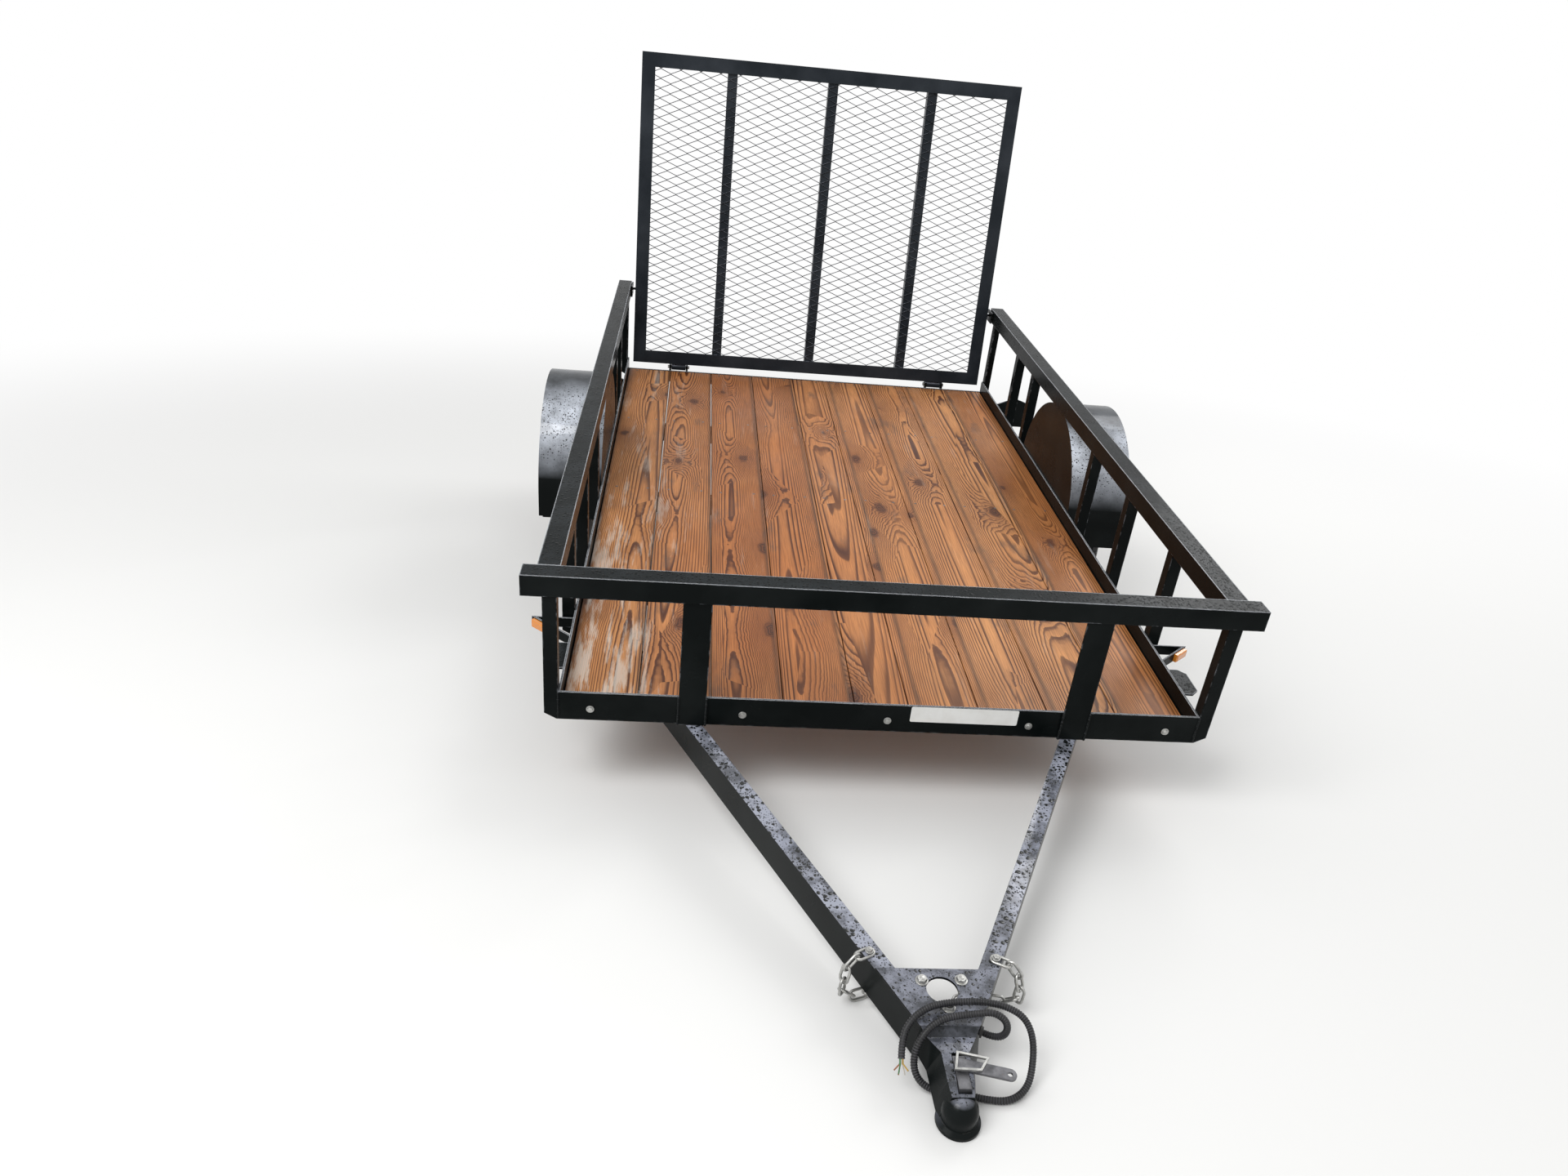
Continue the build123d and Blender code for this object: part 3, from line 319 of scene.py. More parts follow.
railPaint = wetBlackPaint("railPaint", {
    **paintBase, "paintedReflectionShare": 0.06, "paintedReflection": (0.2, 0.23, 0.26), "wetGloss": 0.04, "sheen": 0.04,
    "beadScale": 120.0, "patchScale": 9.0, "edge": 0.004, "edgeHighlight": 0.95, "rubbed": (0.42, 0.44, 0.48)})
# the fender's front slopes carry a painted highlight band, with less of it on the flat top
fenderPaint = wetBlackPaint("fenderPaint", {
    **paintBase, "paintedReflectionShare": 1.0, "paintedReflection": (0.72, 0.77, 0.86), "wetReflectionFrom": 0.05, "wetReflectionTo": 0.62, "flatFrom": 0.74,
    "flatShare": 0.12, "patchScale": 3.5, "beadScale": 150.0, "beadSize": 0.4, "bump": 0.4})
couplerPaint = wetBlackPaint("couplerPaint", {
    **paintBase, "paintedReflection": (0.36, 0.38, 0.46), "paintedReflectionShare": 0.6, "wetReflectionFrom": 0.72, "wetReflectionTo": 1.0,
    "beadScale": 130.0, "beadSize": 0.4, "patchScale": 24.0})
weldPaint = wetBlackPaint("weldPaint", {
    **paintBase, "paintedReflectionShare": 0.05, "wetGloss": 0.2, "dryGloss": 0.1, "edge": 0.0004})
meshPaint = wetBlackPaint("meshPaint", {
    **paintBase, "dusty": (0.045, 0.048, 0.052), "paintedReflectionShare": 0.35, "rough": 0.28, "beadScale": 260.0,
    "bump": 0.5, "edge": 0.0004})
springPaint = wetBlackPaint("springPaint", {
    **paintBase, "colour": (0.018, 0.017, 0.016), "dusty": (0.06, 0.046, 0.038), "rubbed": (0.12, 0.06, 0.035),
    "paintedReflectionShare": 0.1, "rough": 0.4, "beadScale": 220.0, "beadSize": 0.3, "peel": 0.3})


boardValues = {
    "pitch": 0.1691, "left": -0.7535, "rings": 7.2, "ringStretch": 0.26, "ringAcross": 5.0,
    "knotAcross": 0.2, "knotAlong": 0.62, "knotShare": 0.55, "knotSmall": 0.012, "knotSpread": 0.024,
    "knotReach": 2.2, "knotRounds": 24.0, "raggedScale": 34.0, "ragged": 0.03, "rough": 0.25, "sheen": 0.28,
    "edge": 0.003, "bump": 0.35, "grainDepth": 0.0008,
    "wornAcross": (-0.44, -0.64), "wornAlong": (0.9, -0.6),
    "pale": (0.86, 0.42, 0.16), "tan": (0.54, 0.2, 0.058), "red": (0.42, 0.12, 0.035),
    "brown": (0.075, 0.02, 0.007), "knot": (0.03, 0.01, 0.005), "knotRim": (0.14, 0.042, 0.014),
    "bruise": (0.1, 0.062, 0.046), "dirt": (0.035, 0.018, 0.01), "worn": (0.74, 0.68, 0.6)}


def pineBoards(values):
    made, shader, place = newMaterial("pineBoards")
    level = addNode("ShaderNodeMapping", {
        "Vector": place, "Rotation": (-radians(parking["noseDown"]), 0, 0)}).outputs[0]
    across, along, depth = separate(level)[:3]
    count = maths("DIVIDE", maths("SUBTRACT", across, values["left"]), values["pitch"])
    board = maths("FLOOR", count)
    inBoard = maths("SUBTRACT", count, maths("ADD", board, 0.5))
    dice = addNode("ShaderNodeTexWhiteNoise", {"W": board}, noise_dimensions="1D")
    chance = channels(dice.outputs["Color"])
    # every board is cut from another stretch of the pattern
    far = maths("ADD", along, times(chance[0], 37.0))
    # knots: one cell of a stretched pattern each, that the growth rings bend round
    knotPlace = combine(maths("DIVIDE", across, values["knotAcross"]),
                        maths("DIVIDE", far, values["knotAlong"]), board)
    cells = addNode("ShaderNodeTexVoronoi", {"Vector": knotPlace, "Scale": 1.0, "Randomness": 0.8})
    toKnot = separate(vectors("SUBTRACT", knotPlace, cells.outputs["Position"]))
    reach = combine(times(toKnot[0], values["knotAcross"] / 0.8),
                    times(toKnot[1], values["knotAlong"] / 1.5))
    wander = addNode("ShaderNodeTexNoise", {"Vector": level, "Scale": values["raggedScale"], "Detail": 3.0})
    centred = vectors("SUBTRACT", wander.outputs["Color"], (0.5, 0.5, 0.5))
    uneven = vectors("SCALE", centred, values["ragged"])
    distance = vectors("LENGTH", vectors("ADD", reach, uneven))
    knotChance = channels(cells.outputs["Color"])
    kept = maths("LESS_THAN", knotChance[1], values["knotShare"])
    knotRadius = scaled(knotChance[0], values["knotSpread"], values["knotSmall"])
    away = maths("DIVIDE", distance, times(knotRadius, values["knotReach"]))
    swell = times(kept, maths("EXPONENT", times(away, -1.0)))
    # growth rings are the contours of a slow field, drawn out along the board
    fieldPlace = combine(times(across, values["ringAcross"]), times(far, values["ringStretch"]),
                         scaled(depth, 4.0, times(board, 3.7)))
    slow = addNode("ShaderNodeTexNoise", {
        "Vector": fieldPlace, "Scale": 1.0, "Detail": 2.6, "Roughness": 0.42}).outputs[0]
    pith = maths("ADD", inBoard, scaled(chance[1], 0.6, -0.3))
    arch = times(pith, pith, scaled(chance[0], 3.0, 3.2))
    field = maths("ADD", times(slow, 2.4), maths("ADD", arch, times(swell, 1.6)))
    ring = maths("FRACT", times(field, values["rings"]))
    late = ramp(ring, (0.0, 0.04), (0.45, 0.2), (0.8, 1.0), (0.93, 0.9), (1.0, 0.04), easing="EASE")
    fibre = noise(level, 1.0, 3.0, 0.6, (420, 9, 60))
    blotch = noise(level, 1.0, 4.0, 0.6, (7, 2.2, 3), 6.0)
    tone = scaled(blotch, 1.1, scaled(chance[2], 0.7, -0.45))
    plain = colourMix(tone, values["pale"], values["tan"])
    ground = colourMix(times(chance[1], 0.5), plain, values["red"])
    strength = ramp(noise(level, 1.0, 3.0, 0.5, (9, 1.2, 3), 31.0), (0.3, 0.62), (0.58, 1.0))
    ringed = colourMix(times(late, strength), ground, values["brown"])
    streak = rise(fibre, 0.38, 0.66)
    fibred = colourMix(times(streak, 0.42), ringed, values["brown"])
    halo = colourMix(times(swell, 0.7), fibred, values["knotRim"])
    inner = maths("DIVIDE", distance, knotRadius)
    core = times(kept, ramp(inner, (0.5, 1.0), (0.95, 0.0), easing="EASE"))
    rounds = scaled(maths("SINE", times(inner, values["knotRounds"])), 0.5, 0.5)
    knotColour = colourMix(rounds, values["knot"], values["knotRim"])
    knotted = colourMix(times(core, 0.9), halo, knotColour)
    bruising = rise(noise(level, 1.0, 5.0, 0.6, (14, 4.5, 6), 51.0), 0.6, 0.72)
    bruised = colourMix(times(bruising, 0.55), knotted, values["bruise"])
    # dirt along the edges and pale scuffs where loads slide
    edge = rise(maths("ABSOLUTE", inBoard), 0.44, 0.5)
    dirty = colourMix(times(edge, 0.6), bruised, values["dirt"])
    scuff = noise(level, 1.0, 5.0, 0.7, (30, 3.2, 6), 15.0)
    wearPlace = times(mapRange(across, *values["wornAcross"]),
                      mapRange(along, *values["wornAlong"], 0.35))
    scuffed = rise(scaled(wearPlace, 0.14, scuff), 0.6, 0.7)
    wear = times(scuffed, scaled(wearPlace, 0.5, 0.1))
    damp = scaled(noise(level, 3.2, 4.0, 0.6, seed=21.0), 0.45, values["rough"])
    relief = maths("ADD", times(late, 0.5), times(fibre, 0.4))
    roundedBump(shader, relief, values["edge"], values["bump"], values["grainDepth"])
    feed(shader, {
        "Base Color": colourMix(wear, dirty, values["worn"]), "Roughness": scaled(wear, 0.3, damp),
        "Specular IOR Level": values["sheen"]})
    return made


pine = pineBoards(boardValues)


def metal(name, values):
    # plated or bare steel: fine scratches, dull patches and specks of rust
    made, shader, place = newMaterial(name)
    dull = rise(noise(place, values["patch"], 5.0, 0.65, seed=2.0), 0.35, 0.7)
    specks = noise(place, values["patch"] * 2.3, 6.0, 0.7, seed=9.0)
    rust = rise(specks, values["rustFrom"], values["rustFrom"] + 0.08)
    scratch = noise(place, 900.0, 2.0, 0.5, (1, 0.12, 1))
    rough = scaled(dull, 0.2, scaled(scratch, 0.12, values["rough"]))
    roundedBump(shader, scaled(rust, 0.6, scratch), values["edge"], 0.25, 0.0003)
    plain = colourMix(dull, values["colour"], values["dull"])
    feed(shader, {
        "Base Color": colourMix(rust, plain, values["rust"]), "Roughness": scaled(rust, 0.35, rough),
        "Metallic": maths("SUBTRACT", values["metallic"], times(rust, values["metallic"] * 0.8))})
    return made


zinc = metal("zincPlate", {
    "colour": (0.52, 0.52, 0.5), "dull": (0.3, 0.3, 0.29), "rust": (0.2, 0.09, 0.04), "rustFrom": 0.62,
    "metallic": 0.9, "rough": 0.24, "patch": 60.0, "edge": 0.0007})
bareSteel = metal("bareSteel", {
    "colour": (0.32, 0.31, 0.3), "dull": (0.12, 0.11, 0.1), "rust": (0.13, 0.055, 0.025), "rustFrom": 0.58,
    "metallic": 0.85, "rough": 0.34, "patch": 26.0, "edge": 0.001})
leverSteel = metal("leverSteel", {
    "colour": (0.17, 0.17, 0.18), "dull": (0.07, 0.07, 0.075), "rust": (0.16, 0.08, 0.04), "rustFrom": 0.66,
    "metallic": 0.85, "rough": 0.3, "patch": 45.0, "edge": 0.0007})


def dustyCoat(name, values):
    # rubber, moulded plastic or sprayed rims: fine grain under road dust
    made, shader, place = newMaterial(name)
    dust = rise(noise(place, values["patch"], 5.0, 0.6, seed=4.0), 0.42, 0.75)
    shade = colourMix(times(dust, values["dustShare"]), values["colour"], values["dust"])
    feed(shader, {"Base Color": shade, "Roughness": scaled(dust, 0.25, values["rough"])})
    grain = noise(place, values["grain"], 3.0, 0.6, seed=1.0)
    roundedBump(shader, grain, values["edge"], values["bump"], 0.0004)
    return made


rubber = dustyCoat("tyreRubber", {
    "colour": (0.016, 0.016, 0.017), "dust": (0.13, 0.11, 0.09), "dustShare": 0.4, "rough": 0.5,
    "patch": 7.0, "grain": 650.0, "bump": 0.3, "edge": 0.0012})
rimPaint = dustyCoat("rimPaint", {
    "colour": (0.74, 0.74, 0.72), "dust": (0.34, 0.28, 0.22), "dustShare": 0.45, "rough": 0.25,
    "patch": 11.0, "grain": 300.0, "bump": 0.12, "edge": 0.0015})
loomPlastic = dustyCoat("loomPlastic", {
    "colour": (0.014, 0.014, 0.017), "dust": (0.13, 0.13, 0.15), "dustShare": 0.35, "rough": 0.28,
    "patch": 30.0, "grain": 700.0, "bump": 0.15, "edge": 0.0004})
# the cord between the ribs is the same plastic as the ribs, painted near black as shade in the grooves
loomGrooveShade = dustyCoat("loomGrooveShade", {
    "colour": (0.003, 0.003, 0.0035), "dust": (0.02, 0.018, 0.016), "dustShare": 0.3, "rough": 0.5,
    "patch": 30.0, "grain": 700.0, "bump": 0.1, "edge": 0.0004})
blankLabel = dustyCoat("blankLabel", {
    "colour": (0.83, 0.83, 0.81), "dust": (0.55, 0.52, 0.46), "dustShare": 0.35, "rough": 0.3,
    "patch": 18.0, "grain": 500.0, "bump": 0.08, "edge": 0.0003})


def lens(name, values):
    # ribbed tinted plastic over a pale reflector
    made, shader, place = newMaterial(name)
    cells = addNode("ShaderNodeTexVoronoi", {
        "Vector": place, "Scale": values["prisms"], "Randomness": 0.0}, distance="CHEBYCHEV").outputs["Distance"]
    prisms = colourMix(cells, values["bright"], values["deep"])
    grime = noise(place, 40.0, 4.0, 0.6, seed=3.0)
    roundedBump(shader, cells, 0.0016, 0.5, 0.0006)
    feed(shader, {
        "Base Color": colourMix(times(grime, 0.3), prisms, values["grime"]),
        "Roughness": scaled(grime, 0.2, 0.06), "Coat Weight": 0.7, "Coat Roughness": 0.05})
    return made


amberLens = lens("amberLens", {
    "bright": (0.92, 0.33, 0.03), "deep": (0.5, 0.12, 0.01), "grime": (0.12, 0.06, 0.02), "prisms": 260.0})
redLens = lens("redLens", {
    "bright": (0.62, 0.02, 0.015), "deep": (0.24, 0.004, 0.004), "grime": (0.08, 0.02, 0.02), "prisms": 210.0})


def wireSheaths(values):
    # four bared wires, each in its own colour round the loom's cut end
    made, shader, place = newMaterial("wireSheaths")
    x, y, z = separate(place)[:3]
    middleX, middleZ = values["centre"]
    turn = maths("ARCTAN2", maths("SUBTRACT", z, middleZ), maths("SUBTRACT", x, middleX))
    share = maths("FRACT", scaled(turn, 0.5 / pi, 0.5))
    stops = [(step / 4, colour) for step, colour in enumerate(values["colours"])]
    grime = noise(place, 240.0, 3.0, 0.6)
    sheath = ramp(share, *stops, easing="CONSTANT")
    feed(shader, {
        "Base Color": colourMix(times(grime, 0.45), sheath, values["grime"]),
        "Roughness": scaled(grime, 0.3, 0.25)})
    return made


wireCoat = wireSheaths({
    "centre": (-0.089, 0.055), "grime": (0.03, 0.02, 0.015),
    "colours": ((0.32, 0.1, 0.03), (0.7, 0.66, 0.6), (0.5, 0.3, 0.03), (0.05, 0.18, 0.06))})
print("materials made")


# finishes of the steelwork that keeps its own shape, by how its names start; the last that fits counts
finishes = (
    (("deck_board",), pine),
    (("rail", "frame", "posts", "latch_keepers", "marker_bracket", "tail_brackets", "tie_plates"), railPaint),
    (("fender",), fenderPaint), (("coupler",), couplerPaint), (("gate_frame", "gate_bars"), gateFramePaint),
    (("tyre",), rubber), (("rim",), rimPaint), (("hub", "axle"), bareSteel),
    (("chain", "hinge_pins", "latch_wire"), zinc), (("coupler_latch",), leverSteel),
    (("spring_left", "spring_right"), springPaint), (("marker_lamps",), amberLens), (("tail_lamps",), redLens),
    (("harness_grommet",), rubber), (("harness_wires",), wireCoat))
for name, part in nodes.items():
    finish = blackPaint
    for starts, material in finishes:
        if name.startswith(starts):
            finish = material
    part.data.materials.clear()
    part.data.materials.append(finish)
loomCord.data.materials.append(loomGrooveShade)
print("steelwork finished")


# small tools for geometry nodes
def newTree(name, inputs):
    tree = bpy.data.node_groups.new(name, "GeometryNodeTree")
    tree.interface.new_socket("Geometry", in_out="INPUT", socket_type="NodeSocketGeometry")
    for label, kind, value in (*inputs, ("Material", "Material", None)):
        made = tree.interface.new_socket(label, in_out="INPUT", socket_type="NodeSocket" + kind)
        if value is not None:
            made.default_value = value
    tree.interface.new_socket("Geometry", in_out="OUTPUT", socket_type="NodeSocketGeometry")
    return tree, tree.nodes.new("NodeGroupInput").outputs


def shape(kind, values=None, **settings):
    return addNode("GeometryNode" + kind, values, **settings).outputs[0]


def onPoints(points, instance, **more):
    return shape("InstanceOnPoints", {"Points": points, "Instance": instance, **more})


def seedShape(source):
    return addNode("GeometryNodeObjectInfo", {"Object": source, "As Instance": True}).outputs["Geometry"]


def closeTree(tree, geometry, given, smooth=True):
    whole = shape("RealizeInstances", {0: geometry})
    shaded = shape("SetShadeSmooth", {0: whole, "Shade Smooth": smooth})
    addNode("NodeGroupOutput", {0: shape("SetMaterial", {0: shaded, "Material": given["Material"]})})
    return tree


def grown(name, source, tree, values):
    # runs the tree on the source object and keeps its result as a plain mesh
    modifier = source.modifiers.new("grow", "NODES")
    modifier.node_group = tree
    sockets = {item.name: item.identifier for item in tree.interface.items_tree
               if item.item_type == "SOCKET" and item.in_out == "INPUT"}
    for label, value in values.items():
        modifier[sockets[label]] = value
    bpy.context.view_layer.update()
    mesh = bpy.data.meshes.new_from_object(source.evaluated_get(bpy.context.evaluated_depsgraph_get()))
    mesh.name = name
    made = placeObject(name, mesh)
    bpy.data.objects.remove(source)
    print(name, len(mesh.polygons), "faces")
    return made


def sown(name, source, tree, build, material, values):
    # grows copies of one small piece on the source, and then the piece goes
    seed = meshObject(name + "Seed", build, material)
    made = grown(name, source, tree, {"Shape": seed, "Material": material, **values})
    bpy.data.objects.remove(seed)
    return made


def ribTree():
    tree, given = newTree("loomRibs", (
        ("Pitch", "Float", 0.004), ("Rib width", "Float", 0.0018), ("Radius", "Float", 0.0062)))
    line = shape("MeshToCurve", {0: given["Geometry"]})
    even = shape("ResampleCurve", {"Curve": line, "Length": given["Pitch"]}, mode="LENGTH")
    ring = shape("CurvePrimitiveCircle", {"Resolution": 18, "Radius": given["Radius"]})
    section = shape("CurvePrimitiveCircle", {"Resolution": 5, "Radius": times(given["Rib width"], 0.5)})
    rib = shape("CurveToMesh", {0: ring, "Profile Curve": section})
    points = addNode("GeometryNodeCurveToPoints", {0: even}, mode="EVALUATED").outputs
    return closeTree(tree, onPoints(points[0], rib, Rotation=points["Rotation"]), given)


bareRoute = routeCurve("routeLine", loomValues["route"], 0.0)
routeMesh = bpy.data.meshes.new_from_object(bareRoute.evaluated_get(bpy.context.evaluated_depsgraph_get()))
bpy.data.objects.remove(bareRoute)
loomRibs = grown("loomRibs", placeObject("routeLine", routeMesh), ribTree(), {
    "Pitch": loomValues["ribPitch"], "Rib width": loomValues["ribWidth"],
    "Radius": (loomValues["diameter"] - loomValues["ribWidth"]) / 2, "Material": loomPlastic})
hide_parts("harness_loom")
for piece in (loomCord, loomRibs):
    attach(piece, "chassis")
print("loom ribbed")


# expanded metal of the gate, drawn upright and level from its low left corner
meshValues = {"long": 0.0762, "short": 0.0339, "strand": 0.0030, "thick": 0.0017, "tilt": 0.5, "side": 0.001,
              "wide": 1.4159, "low": 0.0893, "high": 1.2047, "face": 2.4489}


def expandedTree():
    tree, given = newTree("expandedMetal", (
        ("Columns", "Int", 38), ("Rows", "Int", 66), ("Half pitch", "Float", 0.038), ("Row height", "Float", 0.017),
        ("Strand", "Float", 0.003), ("Thick", "Float", 0.0017), ("Tilt", "Float", 0.5)))
    index = shape("InputIndex", tree=tree)
    odd = maths("MODULO", index, 2.0)
    swing = maths("SUBTRACT", given["Row height"], times(given["Strand"], 0.6))
    both = addNode("GeometryNodeJoinGeometry", tree=tree)
    # two kinds of zigzag, each the other's mirror, by turns
    for phase, factor, offset in ((0, 1.0, -0.5), (1, -1.0, 0.5)):
        place = combine(times(index, given["Half pitch"]), 0.0, times(scaled(odd, factor, offset), swing))
        moved = shape("SetPosition", {0: shape("MeshLine", {"Count": given["Columns"]}), "Position": place})
        zigzag = shape("SetCurveNormal", {0: shape("MeshToCurve", {0: moved})})
        leaned = shape("SetCurveTilt", {0: zigzag, "Tilt": given["Tilt"]})
        section = shape("CurvePrimitiveQuadrilateral", {"Width": given["Strand"], "Height": given["Thick"]})
        wire = shape("CurveToMesh", {0: leaned, "Profile Curve": section, "Fill Caps": True})
        start, step = (combine(z=times(given["Row height"], share)) for share in (float(phase), 2.0))
        rows = shape("MeshLine", {"Count": times(given["Rows"], 0.5), "Start Location": start, "Offset": step})
        feed(both, {0: onPoints(rows, wire)})
    return closeTree(tree, both.outputs[0], given, False)


def buildGateMesh(values):
    columns = int(values["wide"] / values["long"] * 2) + 1
    rows = int((values["high"] - values["low"]) / values["short"]) * 2
    rowHeight = (values["high"] - values["low"] - values["strand"]) / rows
    seed = placeObject("meshSeed", bpy.data.meshes.new("meshSeed"))
    made = grown("expandedMesh", seed, expandedTree(), {
        "Columns": columns, "Rows": rows, "Half pitch": (values["wide"] - 2 * values["side"]) / (columns - 1),
        "Row height": rowHeight, "Strand": values["strand"], "Thick": values["thick"], "Tilt": values["tilt"],
        "Material": meshPaint})
    corner = (-values["wide"] / 2 + values["side"], values["face"], values["low"] + rowHeight / 2)
    made.data.transform(Matrix.Translation(corner))
    made.data.transform(upright)
    return made


gateMesh = buildGateMesh(meshValues)
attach(gateMesh, "gate")
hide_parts("gate_mesh")
print("gate mesh expanded")


def islands(node):
    # each loose solid of a node, always in the same order: the low and high corners of its level box,
    # and its parked corners
    work = bmesh.new()
    work.from_mesh(nodes[node].data)
    bmesh.ops.remove_doubles(work, verts=work.verts, dist=1e-6)
    work.transform(nodes[node].matrix_world)
    reached = set()
    found = []
    for start in work.verts:
        if start in reached:
            continue
        reached.add(start)
        group = [start]
        for vert in group:
            for link in vert.link_edges:
                other = link.other_vert(vert)
                if other not in reached:
                    reached.add(other)
                    group.append(other)
        level = [parked.inverted() @ vert.co for vert in group]
        low, high = (Vector([pick(place[axis] for place in level) for axis in range(3)]) for pick in (min, max))
        found.append((low, high, [vert.co.copy() for vert in group]))
    work.free()
    return found


tyreValues = {"tread": 0.2600, "treadHalf": 0.0470, "segments": 112, "blocks": 58, "rowShare": 0.4,
              "stagger": 0.37, "innerWidth": 0.78, "smooth": 38}


def tyreProfile(values):
    # (across, radius) from one bead over the tread to the other, with its mould lines
    outer = [(0.0446, 0.1528), (0.0448, 0.1650), (0.0495, 0.1690), (0.0540, 0.1715), (0.0566, 0.1770),
             (0.0570, 0.1776), (0.0580, 0.1776), (0.0590, 0.1840), (0.0602, 0.1940), (0.0607, 0.2040),
             (0.0609, 0.2110), (0.0600, 0.2112), (0.0600, 0.2124), (0.0608, 0.2126), (0.0604, 0.2230),
             (0.0592, 0.2330), (0.0570, 0.2420), (0.0562, 0.2424), (0.0558, 0.2440), (0.0562, 0.2448),
             (0.0530, 0.2525), (0.0500, 0.2562), (values["treadHalf"], values["tread"])]
    return outer + [(-across, radius) for across, radius in reversed(outer)]


def treadTree(values):
    tree, given = newTree("treadBlocks", (
        ("Shape", "Object", None), ("Count", "Int", 58), ("Radius", "Float", 0.26), ("Row step", "Float", 0.02)))
    block = seedShape(given["Shape"])
    index = shape("InputIndex", tree=tree)
    whole = addNode("GeometryNodeJoinGeometry", tree=tree)
    for row in range(5):
        ring = shape("MeshCircle", {"Vertices": given["Count"], "Radius": given["Radius"]})
        turn = maths("DIVIDE", times(maths("ADD", index, values["stagger"] * row), tau), given["Count"])
        across = times(given["Row step"], float(row - 2))
        up, back = (times(maths(word, turn), given["Radius"]) for word in ("COSINE", "SINE"))
        moved = shape("SetPosition", {0: ring, "Position": combine(across, up, back)})
        # the shoulder rows are wider, and every other row leans the other way
        width = (1.0 if row in (0, 4) else values["innerWidth"]) * (-1 if row % 2 else 1)
        feed(whole, {0: onPoints(moved, block, Rotation=combine(turn), Scale=(width, 1.0, 1.0))})
    return closeTree(tree, whole.outputs[0], given, False)


def treadBlock(work):
    # a chevron block with bevelled shoulders, its top towards +Y
    base = [(-0.0088, -0.0100), (0.0, -0.0118), (0.0088, -0.0100),
            (0.0088, 0.0098), (0.0, 0.0080), (-0.0088, 0.0098)]
    levels = ((1.0, -0.0012), (0.97, 0.0046), (0.90, 0.0055))
    rings = [[work.verts.new((x * size, height, z * size)) for x, z in base] for size, height in levels]
    bridge(work, rings)
    work.faces.new(rings[-1])


def buildTyre(word, values):
    centre = boxMiddle("tyre_" + word)

    def body(work):
        rings = []
        for step in range(values["segments"]):
            turn = tau * step / values["segments"]
            rings.append([work.verts.new((centre[0] + across, centre[1] + radius * cos(turn),
                                          centre[2] + radius * sin(turn)))
                          for across, radius in tyreProfile(values)])
        bridge(work, rings, closed=True)
    carcass = meshObject("tyreBody_" + word, body, rubber, values["smooth"])
    source = placeObject("treadSeed", bpy.data.meshes.new("treadSeed"))
    blocks = sown("treadBlocks_" + word, source, treadTree(values), treadBlock, rubber, {
        "Count": values["blocks"], "Radius": values["tread"],
        "Row step": values["treadHalf"] * values["rowShare"]})
    blocks.data.transform(Matrix.Translation(centre))
    for piece in (carcass, blocks):
        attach(piece, "wheel_" + word)
    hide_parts("tyre_" + word)


for word, side in sides:
    buildTyre(word, tyreValues)
print("tyres treaded")


# safety chains, links of round wire where the plain ones lie
chainValues = {"wire": 0.0028, "width": 0.0240, "round": 14, "ends": 9, "smooth": 180, "settle": 40}


def roundLink(work, middle, run, wide, face, length, values):
    radius = values["wire"]
    half = values["width"] / 2 - radius
    straight = length / 2 - values["width"] / 2
    rings = []
    for end in (1, -1):
        for step in range(values["ends"]):
            bend = -pi / 2 + pi * step / (values["ends"] - 1)
            outward = (run * cos(bend) + wide * sin(bend)) * end
            place = middle + run * (end * straight) + outward * half
            rings.append(ringOf(work, values["round"], lambda turn: (
                place + outward * radius * cos(turn) + face * radius * sin(turn))))
    bridge(work, rings, closed=True)


def longestWay(spread, guess, rounds):
    # power steps towards the direction in which the corners spread most
    for turn in range(rounds):
        guess = sum((away * away.dot(guess) for away in spread), Vector()).normalized()
    return guess


def buildChain(word, values):
    def links(work):
        for low, high, places in islands("chain_" + word):
            # the link's box directions: along its straight sides, across them and through it
            middle = sum(places, Vector()) / len(places)
            ends = sorted(places, key=lambda place: (place - middle).length)[-1]
            spread = [place - middle for place in places]
            run = longestWay(spread, ends - middle, values["settle"])
            flat = [away - run * away.dot(run) for away in spread]
            wide = longestWay(flat, max(flat, key=lambda away: away.length).copy(), values["settle"])
            reach = [away.dot(run) for away in spread]
            roundLink(work, middle, run, wide, run.cross(wide).normalized(), max(reach) - min(reach), values)
    made = meshObject("roundChain_" + word, links, zinc, values["smooth"])
    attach(made, "chassis")
    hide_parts("chain_" + word)
    print("chain", word, len(made.data.polygons), "faces")


for word, side in sides:
    buildChain(word, chainValues)


fastenerValues = {
    "frontBolts": (-0.689, -0.338, 0.005, 0.347, 0.686), "frontHeight": 0.031, "frontHead": 0.0055,
    "plateBolts": ((-0.034, -0.741), (0.038, -0.739), (0.004, -0.799)), "plateTop": 0.005, "plateHead": 0.008,
    "pegs": ((0.377, 0.058), (1.782, 0.058)), "pegSide": 0.762, "pegHead": 0.007,
    "boltRadius": 0.0065, "plateRadius": 0.0085, "smooth": 35,
    "linkTop": 0.0062, "shank": 0.0046, "shankCorners": 20, "studNut": 0.0056, "studHead": 0.0058,
    "nutCircle": 0.1143, "nuts": 5, "nutRadius": 0.0098, "nutHeight": 0.0125, "nutSeat": 0.009,
    "boards": 9, "boardEnds": (0.026, 2.412), "crossRows": (0.63, 1.235, 1.86), "boardShares": (0.2, 0.8),
    "jog": 0.004, "screwRadius": 0.0042, "screwCorners": 12, "deckTop": 0.0304}

# washer, chamfered head and the thread's end: whether six-sided, radius and height in shares of the head's
boltRows = (
    (False, 1.42, 0.0), (False, 1.42, 0.22), (False, 1.34, 0.3), (False, 1.16, 0.31), (True, 1.14, 0.32),
    (True, 1.14, 0.82), (False, 0.92, 1.0), (False, 0.5, 1.0), (False, 0.48, 1.1), (False, 0.3, 1.14))


